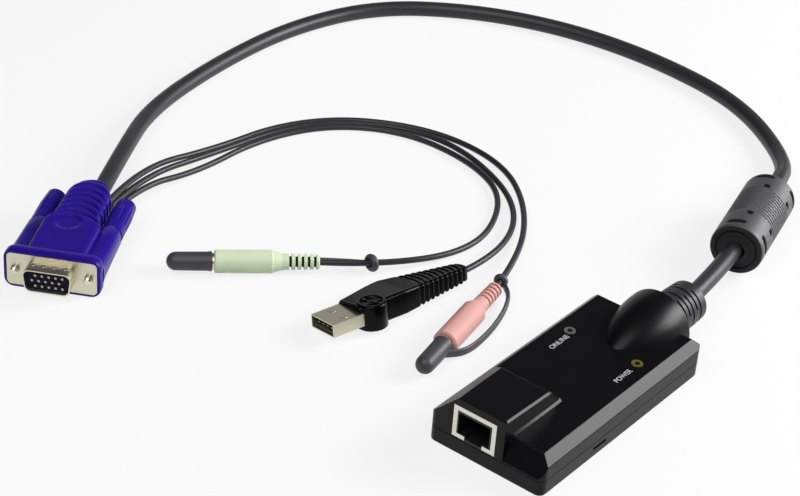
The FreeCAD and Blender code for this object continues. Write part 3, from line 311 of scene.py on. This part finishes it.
def light_pipe(name, tint, middle):
    """Moulded polycarbonate with a faint ripple. Within 0.95 mm of the lamp's middle its colour is a
    painted shade, near black, for the dark bore below. Outside that the rim is painted in the pipe's tint,
    lighter, partly its own colour and partly a painted highlight."""
    made, tree = new_material(name)
    where = add(tree, "TexCoord")
    centred = add(tree, "Mapping", vector_type="TEXTURE", Location=middle,
                  links=[("Vector", where, "Object")])
    level = add(tree, "VectorMath", operation="MULTIPLY", links=[(0, centred, "Vector")],
                fixed=[(1, (1.0, 1.0, 0.0))])
    away = add(tree, "VectorMath", operation="LENGTH", links=[(0, level, "Vector")])
    rim = add(tree, "MapRange", From_Min=0.0008, From_Max=0.0011, links=[("Value", away, "Value")])
    # Painted shade in the middle and a painted highlight in the tint on the rim.
    tone = add(tree, "Mix", data_type="RGBA", links=[("Factor", rim, "Result")],
               fixed=[(mix_first, linear("#15140f")), (mix_second, linear(tint))])
    ripple = add(tree, "TexNoise", Scale=700.0, links=[("Vector", where, "Object")])
    relief = add(tree, "Bump", Strength=0.6, Distance=0.00008, links=[("Height", ripple, "Fac")])
    clear = add(tree, "BsdfPrincipled", Roughness=0.14, IOR=1.58, Transmission_Weight=0.35,
                links=[("Base Color", tone, mix_result), ("Normal", relief, "Normal")])
    add(tree, "OutputMaterial", links=[("Surface", clear, "BSDF")])
    return made


for side, word, tint in (("online", "clear", "#73736c"), ("power", "amber", "#75692c")):
    corners = np.array(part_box("light_pipe_" + side))
    finish(light_pipe(word + " polycarbonate light pipe", tint, corners.mean(0)), "light_pipe_" + side)


# Network socket: a shield folded from tinned brass sheet round a black glass-filled moulding,
# with eight gold-plated spring wires in the roof of the mouth.
def plated(name, colour, rough, grain):
    """A plated metal. A fine noise as wide as the grain, in mm, moves its colour and its roughness
    a little and gives it a relief of 0.002 mm."""
    made, tree = new_material(name)
    where = add(tree, "TexCoord")
    rub = add(tree, "TexNoise", Scale=1000.0 / grain, Detail=2.0, links=[("Vector", where, "Object")])
    full = linear(colour)
    tone = add(tree, "ValToRGB", links=[("Fac", rub, "Fac")])
    tone.color_ramp.elements[0].position = 0.25
    tone.color_ramp.elements[0].color = (full[0] * 0.92, full[1] * 0.91, full[2] * 0.88, 1.0)
    tone.color_ramp.elements[1].position = 0.75
    tone.color_ramp.elements[1].color = full
    gloss = add(tree, "MapRange", To_Min=rough * 0.8, To_Max=rough * 1.25, links=[("Value", rub, "Fac")])
    relief = add(tree, "Bump", Strength=0.5, Distance=0.000002, links=[("Height", rub, "Fac")])
    metal = add(tree, "BsdfPrincipled", Metallic=1.0,
                links=[("Base Color", tone, "Color"), ("Roughness", gloss, "Result"),
                       ("Normal", relief, "Normal")])
    add(tree, "OutputMaterial", links=[("Surface", metal, "BSDF")])
    return made


# Matt tin on brass sheet: a pale warm metal with only blurred reflections.
tin = plated("matt tin plating", "#e6e5da", 0.42, 0.4)
finish(tin, "jack_shield")

# Gold flash on drawn bronze wire: small yellow glints.
gold = plated("gold flash on phosphor bronze", "#e6bf68", 0.24, 0.3)
finish(gold, "jack_contacts")

# Moulded PBT filled with glass: black, with a dry and even shine.
insert_pbt = moulded("black glass-filled PBT", "#0d0d0f", 0.5, 0.3, 0.01)
finish(insert_pbt, "jack_insert")

# The insert shows as a thin dark lip round the mouth and its notch for the plug's latch: two
# outlines in mm, joined in front and behind into one closed loop.
lip_outer = np.array([(-6.4, 1.5), (-3.25, 1.5), (-3.25, 0.0), (3.25, 0.0),
                      (3.25, 1.5), (6.4, 1.5), (6.4, 9.9), (-6.4, 9.9)])
lip_inner = np.array([(-5.87, 1.6), (-3.2, 1.6), (-3.2, 0.7), (3.2, 0.7),
                      (3.2, 1.6), (5.87, 1.6), (5.87, 9.2), (-5.87, 9.2)])
lip_middle, lip_foot = -4.65, 6.2
lip_front, lip_back = -55.06, -54.7
lip = np.stack([np.stack((ring[:, 0] + lip_middle, np.full(len(ring), depth), ring[:, 1] + lip_foot), -1)
                for ring, depth in ((lip_outer, lip_front), (lip_inner, lip_front),
                                    (lip_inner, lip_back), (lip_outer, lip_back))], 1)
skin("socket_lip", [np.concatenate((lip, lip[:1]))], Matrix.Identity(4), insert_pbt)

# Strain relief: soft PVC moulded onto the cable, slotted in half rings so that it bends.
# Its flange is caught inside the housing's neck.

# Soft moulded PVC: a dark grey with a broad sheen where it curves.
relief_pvc = moulded("soft black PVC", "#2a2a2f", 0.38, 0.45, 0.012, level=0.28)
finish(relief_pvc, "strain_relief")

# Main cable and its choke: an extruded PVC jacket over stranded wire and foil, with a ferrite
# tube in a moulded barrel slid over it. It lies in one wide curve on the table.
choke_spot, choke_turn = (-2.5, 92.9, 9.6), 14.3

# Extruded PVC: a smooth dark grey with one long sheen along the cord.
jacket_pvc = moulded("extruded PVC jacket", "#2b2b31", 0.4, 0.5, 0.01, level=0.36)

# Moulded PVC: a paler grey with an open sheen. Black shade is painted into its windows and holes, and the
# same dark colour covers its end faces, within 9.2 mm of its axis.
barrel_pvc = moulded("moulded PVC barrel", "#3e3e44", 0.48, 0.3, 0.008, level=0.75,
                      shade_core=(9.2, "#111115", choke_spot, choke_turn))

# Sintered ferrite: dark and stony, out of sight in the barrel.
ferrite = moulded("sintered ferrite", "#2b2b2f", 0.6, 0.25, 0.02)
finish(ferrite, "choke_core")


def lathe(along, radius, count=48):
    """Circles of a radius round the y axis, one for each entry of along:
    x = radius cos(turn), z = radius sin(turn)."""
    turn = np.linspace(0, 2 * math.pi, count, endpoint=False)
    radius = np.asarray(radius, float)[:, None]
    x = radius * np.cos(turn)
    z = radius * np.sin(turn)
    return np.stack((x, np.broadcast_to(np.asarray(along, float)[:, None], x.shape), z), -1)


def standing(x, y, z, yaw, pitch=0.0):
    """A plug's own frame in the row frame: first tilted about y, then turned about z, then moved."""
    return (Matrix.Translation((x / 1000, y / 1000, z / 1000)) @ Matrix.Rotation(math.radians(yaw), 4, "Z")
            @ Matrix.Rotation(math.radians(pitch), 4, "Y"))


def eased(value, low, high):
    """0 below low, 1 above high, and the smooth cubic 3s^2 - 2s^3 between."""
    s = np.clip((value - low) / (high - low), 0, 1)
    return s * s * (3 - 2 * s)


def choke_barrel():
    """A turned barrel with a boss and a round groove at each end. Out of its outside of radius 9.6 mm
    are cut the ring grooves, four windows near each end, and four small holes at each end of the
    rings. The windows and holes are 1.6 mm deep, and the barrel's material paints black shade in
    them. A window is the shape where (around / long)^4 + (along / wide)^4 is under 1."""
    outside, length = 9.6, 41.2
    groove, pitch, groove_depth = 13.5, 1.6, 0.35
    face = np.array([(-0.6, 3.3), (-0.6, 4.8), (-0.45, 5.0), (0.0, 5.0), (0.0, 6.7), (0.8, 6.7), (0.8, 7.6),
                     (0.0, 7.6), (0.0, 8.6), (0.1, 8.95), (0.35, 9.3), (0.75, 9.53), (1.2, outside)])
    far_face = (face * (-1, 1) + (length, 0.0))[::-1]
    body = np.arange(1.4, 39.9, 0.2)
    along = np.concatenate((face[:, 0], body, far_face[:, 0], face[:1, 0]))
    radius = np.concatenate((face[:, 1], np.full(len(body), outside), far_face[:, 1], face[:1, 1]))
    part = lathe(along, radius, count=240)
    turn = np.degrees(np.arctan2(part[..., 2], part[..., 0]))
    y = part[..., 1]
    phase = np.abs((y - groove + pitch / 2) % pitch - pitch / 2)
    cut = np.where((y > 13.0) & (y < 30.0), groove_depth * (1 - eased(phase, 0.15, 0.4)), 0.0)
    window_turns, hole_turns, deep = (107.0, 15.0, -73.0, -165.0), (89.0, 24.0, -91.0, -156.0), 1.6
    for centre, middles, long, wide in ((4.0, window_turns, 3.7, 1.15), (38.9, window_turns, 3.7, 1.0),
                                        (11.3, hole_turns, 1.1, 1.1), (32.0, hole_turns, 1.1, 1.1)):
        for middle in middles:
            around = np.radians((turn - middle + 180) % 360 - 180) * outside / long
            off = np.power(np.abs(around) ** 4 + np.abs((y - centre) / wide) ** 4, 0.25)
            cut = np.maximum(cut, deep * (1 - eased(off, 0.9, 1.08)))
    part[..., [0, 2]] *= (1 - cut / np.hypot(part[..., 0], part[..., 2]))[..., None]
    return part


choke_cover = skin("choke_barrel", [choke_barrel()], standing(*choke_spot, choke_turn), barrel_pvc)
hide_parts("choke_cover")


def laid_cord(name, points, thickness):
    """A round cord whose centreline is a clamped quadratic B-spline of the route's points."""
    line = bpy.data.curves.new(name, "CURVE")
    line.dimensions = "3D"
    line.bevel_depth = thickness / 2
    line.bevel_resolution = 6
    line.use_fill_caps = True
    spline = line.splines.new("NURBS")
    spline.points.add(len(points) - 1)
    for place, point in zip(spline.points, points):
        place.co = (*point, 1.0)
    spline.order_u = 3
    spline.use_endpoint_u = True
    spline.resolution_u = 16
    line.materials.append(jacket_pvc)
    made = linked(bpy.data.objects.new(name, line))
    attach(made, "dongle")
    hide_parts(name.replace("_cord", "_cable"))
    return made


main_width, main_low = 0.0062, 0.00315
main_route = [
    (0.0025, 0.052, 0.0096), (-0.0003, 0.0842, 0.0096), (-0.0149, 0.1415, 0.0096),
    (-0.0252, 0.1694, main_low), (-0.0626, 0.1972, main_low), (-0.1086, 0.2044, main_low),
    (-0.1508, 0.2003, main_low), (-0.1883, 0.1843, main_low), (-0.2178, 0.1577, main_low),
    (-0.2297, 0.118, main_low), (-0.2291, 0.0737, main_low), (-0.2219, 0.0286, main_low),
    (-0.2011, -0.007, 0.0073), (-0.1833, -0.0383, 0.0073)]
main_cord = laid_cord("main_cord", main_route, main_width)


# Video plug: a soft blue PVC hood moulded over the cable ends, with a ribbed, domed tail and a
# sleeve each side for the thumbscrews. Its nickel-plated flange carries the D-shaped shell.
def round_corners(arc, flat):
    """Columns of a rounded rectangle. Each point has its share of the two half widths less the
    corner radius, and the direction from its corner's middle."""
    shares, turns = [], []
    corners = np.array([(1, 1), (-1, 1), (-1, -1), (1, -1), (1, 1)], float)
    step = np.linspace(0, 1, flat + 2)[1:-1, None]
    for quarter in range(4):
        shares += [np.repeat(corners[quarter:quarter + 1], arc, 0),
                   corners[quarter] * (1 - step) + corners[quarter + 1] * step]
        turns += [math.pi / 2 * (quarter + np.linspace(0, 1, arc)),
                  np.full(flat, math.pi / 2 * (quarter + 1))]
    return np.concatenate(shares), np.concatenate(turns)


def rings(along, half, high, corner, middle=0.0, rise=0.0, arc=8, flat=14):
    """Rounded rectangles standing across y, one for each entry of along, with half widths half and
    high, a corner radius, and a middle (middle, rise). Each point is its corner's middle plus the
    radius in the point's direction. Returns rings x columns x 3, in mm."""
    along, half, high, corner, middle, rise = (
        np.broadcast_to(np.asarray(v, float), np.shape(along))[:, None]
        for v in (along, half, high, corner, middle, rise))
    share, turn = round_corners(arc, flat)
    x = middle + (half - corner) * share[:, 0] + corner * np.cos(turn)
    z = rise + (high - corner) * share[:, 1] + corner * np.sin(turn)
    return np.stack((x, np.broadcast_to(along, x.shape), z), -1)


# Moulded PVC dyed blue: a deep violet blue, satin, with soft lights along its ribs.
hood_pvc = moulded("blue moulded PVC", "#240a84", 0.34, 0.4, 0.006, level=0.2)
video_place = standing(-160.92, -79.63, 7.3, 29.68)
flange_block = rings([0.8, 0.0, 0.0, 0.15, 0.7, 3.4, 4.3, 4.9],
                     [15.45, 15.45, 15.9, 16.35, 16.6, 16.6, 16.2, 15.3],
                     [6.15, 6.15, 6.6, 7.0, 7.2, 7.2, 6.85, 6.0],
                     [1.6, 1.6, 2.4, 3.2, 3.5, 3.5, 3.3, 2.8])

# The hood's body runs from the flange to its domed end. Behind the shoulder its width steps in by
# 1.8 mm, and over the dome both half widths shrink with the ellipse sqrt(1 - s^2). The ribs are a
# raised cosine to the fourth power and bow forward with the square of the distance from the
# middle. A round thumb rest is sunk in the upper face.
run = np.concatenate((np.arange(3.5, 24.0, 0.5), np.arange(24.0, 53.4, 0.22),
                      54.4 - 1.0 * (1 - np.linspace(0, 1, 9)) ** 2))
tail = np.clip((run - 32.0) / 22.0, 0, 1)
dome_start, dome_end, dome = 48.6, 54.4, 6.0
closing = np.sqrt(np.clip(1 - ((np.clip(run, dome_start, dome_end) - dome_start) / dome) ** 2, 0, 1))
half_width = (10.2 - 1.8 * eased(run, 29.0, 32.2) - 0.4 * tail) * (0.25 + 0.75 * closing)
half_height = (6.6 + 0.1 * tail) * (0.45 + 0.55 * closing)
rib_middle, rib_pitch, rib_depth = 28.6, 3.7, 0.45
wave = 0.5 + 0.5 * np.cos(2 * math.pi * (run - rib_middle) / rib_pitch)
rib = np.where((run > 26.5) & (run < 51.5), wave ** 4, 0.0) * rib_depth
hood_body = rings(run, half_width - rib, half_height - rib, np.minimum(2.2 + 1.6 * tail, half_height - 0.6),
                  arc=12, flat=24)
across = hood_body[..., 0] / half_width[:, None]
rib_bow = 5.2 * eased(run, 8.0, 27.0)
hood_body[..., 1] -= rib_bow[:, None] * across ** 2
thumb_x, thumb_y, thumb_depth = -1.0, 22.8, 0.4
off_centre = np.hypot(hood_body[..., 0] - thumb_x, hood_body[..., 1] - thumb_y)
hood_body[..., 2] -= np.where(hood_body[..., 2] > 0, thumb_depth * (1 - eased(off_centre, 3.9, 4.7)), 0.0)

# A sleeve round each thumbscrew, joined to the body by a lower web.
sleeve_run = [3.4, 4.6, 8.0, 14.0, 20.0, 26.4, 27.1, 27.3]
sleeve_half = [4.6, 4.5, 4.4, 4.3, 4.2, 4.1, 3.9, 3.5]
sleeve_high = [5.2, 4.9, 4.6, 4.4, 4.3, 4.2, 4.0, 3.6]
web_run = [3.4, 8.0, 18.0, 24.0, 26.0]
web_half = [3.0, 3.0, 3.0, 2.6, 1.8]
web_high = [5.4, 4.6, 3.9, 3.6, 3.2]
sleeves = [rings(sleeve_run, sleeve_half, sleeve_high, 3.4, middle=side * 12.2) for side in (-1, 1)]
webs = [rings(web_run, web_half, web_high, 1.6, middle=side * 8.6) for side in (-1, 1)]
video_hood = skin("video_hood", [flange_block, hood_body, *sleeves, *webs], video_place, hood_pvc)
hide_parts("vga_hood")

# Nickel plating on pressed steel: a warm silver with blurred, faintly clouded reflections.
nickel = plated("bright nickel plating", "#dad4c0", 0.36, 0.5)
finish(nickel, "vga_shell")

# Nickel plating on turned steel: sharper and cooler than the flange.
screw_steel = plated("nickel-plated turned steel", "#d9d8d0", 0.2, 0.2)
finish(screw_steel, "screw_left", "screw_right")

# Moulded PBT: nearly black, with a blue cast.
insert_navy = moulded("dark blue PBT", "#0a0822", 0.5, 0.3, 0.008, level=0.15)
finish(insert_navy, "vga_insert")

# Tin on drawn brass pins: small grey glints.
pin_tin = plated("tin-plated brass", "#a5a29a", 0.28, 0.2)
finish(pin_tin, "vga_pins")
finish(hood_pvc, "knob_left", "knob_right")

# Four round dimples pressed into the D-shaped shell's upper face, each a dome of five rings.
dimple = lathe([-0.3, 0.0, 0.14, 0.24, 0.27], [0.95, 0.9, 0.7, 0.4, 0.05], count=20)[..., [0, 2, 1]]
dimples = [dimple + (x, -2.3, 4.15) for x in (-5.4, -1.8, 1.8, 5.4)]
skin("shell_dimples", dimples, video_place, nickel)

# USB plug on its lead: a lopsided black PVC hood with a hub at one front corner and ribs towards
# the lead. The folded nickel-plated shell holds a black tongue with four gold pads.
lead_width, lead_low = 0.0022, 0.00115
usb_route = [
    (-0.1768, -0.0387, 0.0073), (-0.1862, -0.0125, 0.0056), (-0.1846, 0.0235, lead_low),
    (-0.1796, 0.0535, lead_low), (-0.1676, 0.0746, lead_low), (-0.1452, 0.0908, lead_low),
    (-0.1174, 0.0924, lead_low), (-0.0813, 0.0749, lead_low), (-0.0632, 0.0394, 0.0048),
    (-0.0671, 0.0174, 0.0048)]
usb_cord = laid_cord("usb_cord", usb_route, lead_width)

# Moulded PVC from a polished mould: black, with small sharp lights on its ribs.
grip_pvc = moulded("black moulded PVC", "#060607", 0.19, 0.4, 0.001, level=0.1)
usb_place = standing(-79.47, -37.19, 4.8, -12.74, -11.2)

# The hood widens on its left up to 31 mm behind the shell's mouth and narrows evenly from there to
# the lead, where it closes with the ellipse sqrt(1 - s^2). Its half height goes evenly from thin on
# the left to thick on the right. The ribs are a raised cosine squared and bow backward in the middle.
run = np.concatenate(([11.75, 11.8, 12.0, 12.5], np.arange(13.0, 36.0, 0.75), np.arange(36.0, 58.0, 0.16),
                      59.0 - 1.0 * (1 - np.linspace(0, 1, 7)) ** 2))
nose = 1 - 0.1 * (1 - eased(run, 11.7, 12.7))
toe = np.sqrt(np.clip(1 - ((np.clip(run, 56.5, 59.0) - 56.5) / 2.9) ** 2, 0, 1))
narrowing = np.clip((run - 31.0) / 28.0, 0, 1)
left = np.where(run < 31, 7.2 + 3.4 * eased(run, 9.0, 31.0), 10.6 - 7.5 * narrowing)
right = 5.6 - 2.5 * narrowing
thin, thick = 2.9 - 0.2 * narrowing, 4.4 - 1.7 * narrowing
shrink = nose * (0.55 + 0.45 * toe)
rib_middle, rib_pitch, rib_depth = 37.4, 2.2, 0.4
wave = 0.5 + 0.5 * np.cos(2 * math.pi * (run - rib_middle) / rib_pitch)
rib = np.where((run > 36.4) & (run < 57.6), wave ** 2, 0.0) * rib_depth
drawn_high = 4.0
usb_body = rings(run, (left + right) / 2 * shrink - rib, drawn_high, 1.15, middle=(right - left) / 2,
                 arc=10, flat=18)
across = np.clip((usb_body[..., 0] + left[:, None]) / (left + right)[:, None], 0, 1)
half_height = (thin[:, None] + (thick - thin)[:, None] * across) * shrink[:, None] - rib[:, None]
usb_body[..., 2] *= half_height / drawn_high
rib_bow = 1.4 * eased(run, 30.0, 38.0) * (run < 58.9)
usb_body[..., 1] += rib_bow[:, None] * (1 - (2 * across - 1) ** 2)

# A round hub passes through the hood's front corner, dished on top with two spokes across it.
hub_x, hub_y = 3.9, 17.4
hub_height = np.array([-4.6, -4.6, -4.3, -3.9, 3.9, 4.35, 4.6, 4.6, 4.35, 3.95, 3.9, 3.95, 4.3, 4.4])
hub_radius = np.array([0.3, 4.4, 5.0, 5.2, 5.2, 5.05, 4.7, 4.0, 3.6, 3.45, 2.0, 1.6, 1.35, 0.3])
hub = lathe(hub_height, hub_radius)[..., [0, 2, 1]] + (hub_x, hub_y, 0.0)
spokes = []
for turn in np.radians([20.0, 110.0]):
    bar = rings(np.linspace(-3.8, 3.8, 3), 0.5, 0.3, 0.2, rise=4.1, arc=3, flat=1)
    x, y = bar[..., 0].copy(), bar[..., 1].copy()
    bar[..., 0] = hub_x + x * math.cos(turn) - y * math.sin(turn)
    bar[..., 1] = hub_y + x * math.sin(turn) + y * math.cos(turn)
    spokes.append(bar)
usb_grip = skin("usb_grip", [usb_body, hub, *spokes], usb_place, grip_pvc)
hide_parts("usb_hood")

# Moulded ABS filled with glass: a dull black, with a warm cast painted in as reflected light from the gold
# beside it.
tongue_abs = moulded("black glass-filled ABS", "#17160f", 0.5, 0.4, 0.005)
finish(tongue_abs, "usb_tongue")
finish(nickel, "usb_shell")
finish(gold, "usb_contacts")

# In each of the shell's two upper holes a flat spring is bent up, by a parabola of its length.
springs = []
for side in (-1, 1):
    spring = rings([5.1, 5.3, 6.2, 7.1, 7.3], [0.8, 1.1, 1.15, 1.1, 0.8], 0.25, 0.2, middle=side * 3.2,
                   rise=1.98, arc=4, flat=2)
    spring[..., 2] += 0.1 - 0.06 * (spring[..., 1] - 6.2) ** 2
    springs.append(spring)
skin("usb_springs", springs, usb_place, nickel)

# Audio plugs on their leads, one green and one pink: PVC moulded round a nickel-plated pin, with
# a slotted tail. Each pin wears a soft cap, moulded in one with a strap and a ring on the lead.
green_spot, green_turn = (-143.2, -44.0, 4.05), -46.0
pink_spot, pink_turn = (-41.9, -33.1, 4.35), 11.07

# Moulded PVC in a pale green and in pink: even and nearly matt. Shade is painted into the tail's slots, a
# dark olive in the green and a dark red in the pink.
green_pvc = moulded("pale green moulded PVC", "#cddcbb", 0.42, 0.4, 0.006, drift=0.95, level=0.3,
                    shade_core=(2.25, "#20241a", green_spot, green_turn))
pink_pvc = moulded("pink moulded PVC", "#cd9c95", 0.45, 0.4, 0.006, drift=0.95, level=0.12,
                   shade_core=(2.15, "#a5483f", pink_spot, pink_turn))

# Moulded TPE: a soft dark grey with a broad shine.
cap_tpe = moulded("dark grey TPE", "#413f46", 0.46, 0.3, 0.01, level=0.4)
green_route = [
    (-0.1768, -0.0387, 0.0047), (-0.184, -0.0155, 0.004), (-0.1796, 0.0095, lead_low),
    (-0.1796, 0.0428, lead_low), (-0.1681, 0.071, lead_low), (-0.1436, 0.0876, lead_low),
    (-0.1111, 0.087, lead_low), (-0.0876, 0.0741, lead_low), (-0.0744, 0.0405, lead_low),
    (-0.0892, 0.0052, 0.00405), (-0.108, -0.01, 0.00405)]
pink_route = [
    (-0.1768, -0.0387, 0.0099), (-0.1888, -0.0105, 0.0076), (-0.1866, 0.0262, lead_low),
    (-0.1818, 0.0572, lead_low), (-0.1652, 0.0816, lead_low), (-0.1354, 0.0968, lead_low),
    (-0.1034, 0.0948, lead_low), (-0.0792, 0.0761, lead_low), (-0.0582, 0.043, 0.00435),
    (-0.0519, 0.0181, 0.00435)]


def cut_corners(points, rounds=4):
    """Chaikin's rule: each inner corner gives way to two points, a quarter of the way along its
    two runs."""
    for _ in range(rounds):
        near, far = 0.75 * points[:-1] + 0.25 * points[1:], 0.25 * points[:-1] + 0.75 * points[1:]
        points = np.concatenate((points[:1], np.stack((near, far), 1).reshape(-1, 3), points[-1:]))
    return points


def ribbon(points, wide, thick, count=20):
    """An oval section carried along a line. Its wide way stays square to both the line and the plane
    that the line bends in."""
    way = np.gradient(points, axis=0)
    way /= np.linalg.norm(way, axis=1, keepdims=True)
    flat = np.cross(way, (0.0, 0.0, 1.0))
    flat /= np.linalg.norm(flat, axis=1, keepdims=True)
    upward = np.cross(flat, way)
    turn = np.linspace(0, 2 * math.pi, count, endpoint=False)[None, :, None]
    return points[:, None] + thick * np.cos(turn) * flat[:, None] + wide * np.sin(turn) * upward[:, None]


def along_cord(cord, back):
    """The place on a cord's own spline at a distance in metres before its far end, and the
    direction there, from the spline's points without its thickness."""
    line = cord.data.copy()
    line.bevel_depth = 0.0
    thread = linked(bpy.data.objects.new("thin_line", line))
    bpy.context.view_layer.update()
    mesh = bpy.data.meshes.new_from_object(thread.evaluated_get(bpy.context.evaluated_depsgraph_get()))
    points = np.array([v.co for v in mesh.vertices])
    bpy.data.objects.remove(thread)
    steps = np.linalg.norm(np.diff(points, axis=0), axis=1)
    left = steps.sum() - np.concatenate(([0.0], np.cumsum(steps)))
    near, far = [np.array([np.interp(at, left[::-1], points[::-1, k]) for k in range(3)])
                 for at in (back, back + 0.001)]
    return near, (near - far) / np.linalg.norm(near - far)


def dust_cap(name, rim, strap, band, place, cord, back, hoop, bar, lean):
    """A cup over the pin with an elliptical nose and its rim a little before the plug, a strap along
    the plug with the half widths in band, and a ring round the lead, at a distance back from the
    lead's end. The ring is a circle of radius hoop, turned aside by lean degrees, with an oval
    section of half widths bar and 1.15 bar."""
    nose_length, nose_radius = 3.3, 3.2
    turn = np.linspace(0.03, math.pi / 2, 12)
    along = np.concatenate((nose_length - nose_length * np.cos(turn),
                            [8.0, rim - 1.3, rim - 1.0, rim - 0.25, rim, rim, rim - 0.3, 3.0]))
    radius = np.concatenate((nose_radius * np.sin(turn), [3.25, 3.3, 3.42, 3.42, 3.2, 2.1, 1.9, 1.85]))
    spot, way = along_cord(cord, back)
    middle = np.array(place.inverted() @ Vector(spot)) * 1000
    axis = np.array(place.to_3x3().inverted() @ Matrix.Rotation(math.radians(lean), 3, "Z") @ Vector(way))
    level = np.cross(axis, (0.0, 0.0, 1.0))
    level /= np.linalg.norm(level)
    bend = np.linspace(0, 2 * math.pi, 33)[:, None, None]
    section = np.linspace(0, 2 * math.pi, 16, endpoint=False)[None, :, None]
    outward = np.cos(bend) * level + np.sin(bend) * np.cross(level, axis)
    eye = middle + (hoop + bar * np.cos(section)) * outward + 1.15 * bar * np.sin(section) * axis
    side = math.copysign(hoop, strap[0][0])
    end = middle + side * np.array((0.75, 0.0, 0.0)) - (0.0, 0.0, 0.6 * hoop)
    tie = ribbon(cut_corners(np.array(strap + [tuple(end)])), *band)
    return skin(name, [lathe(along, radius), tie, eye], place, cap_tpe)


green_strap = [(-2.6, 13.2, -1.0), (-6.2, 19.2, -2.8), (-6.4, 33.2, -2.85), (-5.6, 47.2, -2.85),
               (-4.9, 60.0, -2.85)]
pink_strap = [(2.6, 13.4, -1.0), (7.2, 19.4, -2.0), (8.3, 33.0, -2.5), (7.5, 46.0, -2.2), (5.4, 55.0, -1.0)]
for colour, place, rim, route, length, body, strap, band, back, hoop, bar, lean in (
        ("green", standing(*green_spot, green_turn), 15.5, green_route, 0.2959, green_pvc, green_strap,
         (1.15, 0.7), 0.0209, 2.15, 1.05, 30.0),
        ("pink", standing(*pink_spot, pink_turn), 16.2, pink_route, 0.2935, pink_pvc, pink_strap,
         (1.5, 0.75), 0.0085, 1.6, 0.95, 0.0)):
    cord = laid_cord(colour + "_cord", route, lead_width)
    cap = dust_cap(colour + "_dust_cap", rim, strap, band, place, cord, back, hoop, bar, lean)
    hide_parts(colour + "_cap")
    finish(body, colour + "_plug_body")
    finish(nickel, colour + "_plug_pin")
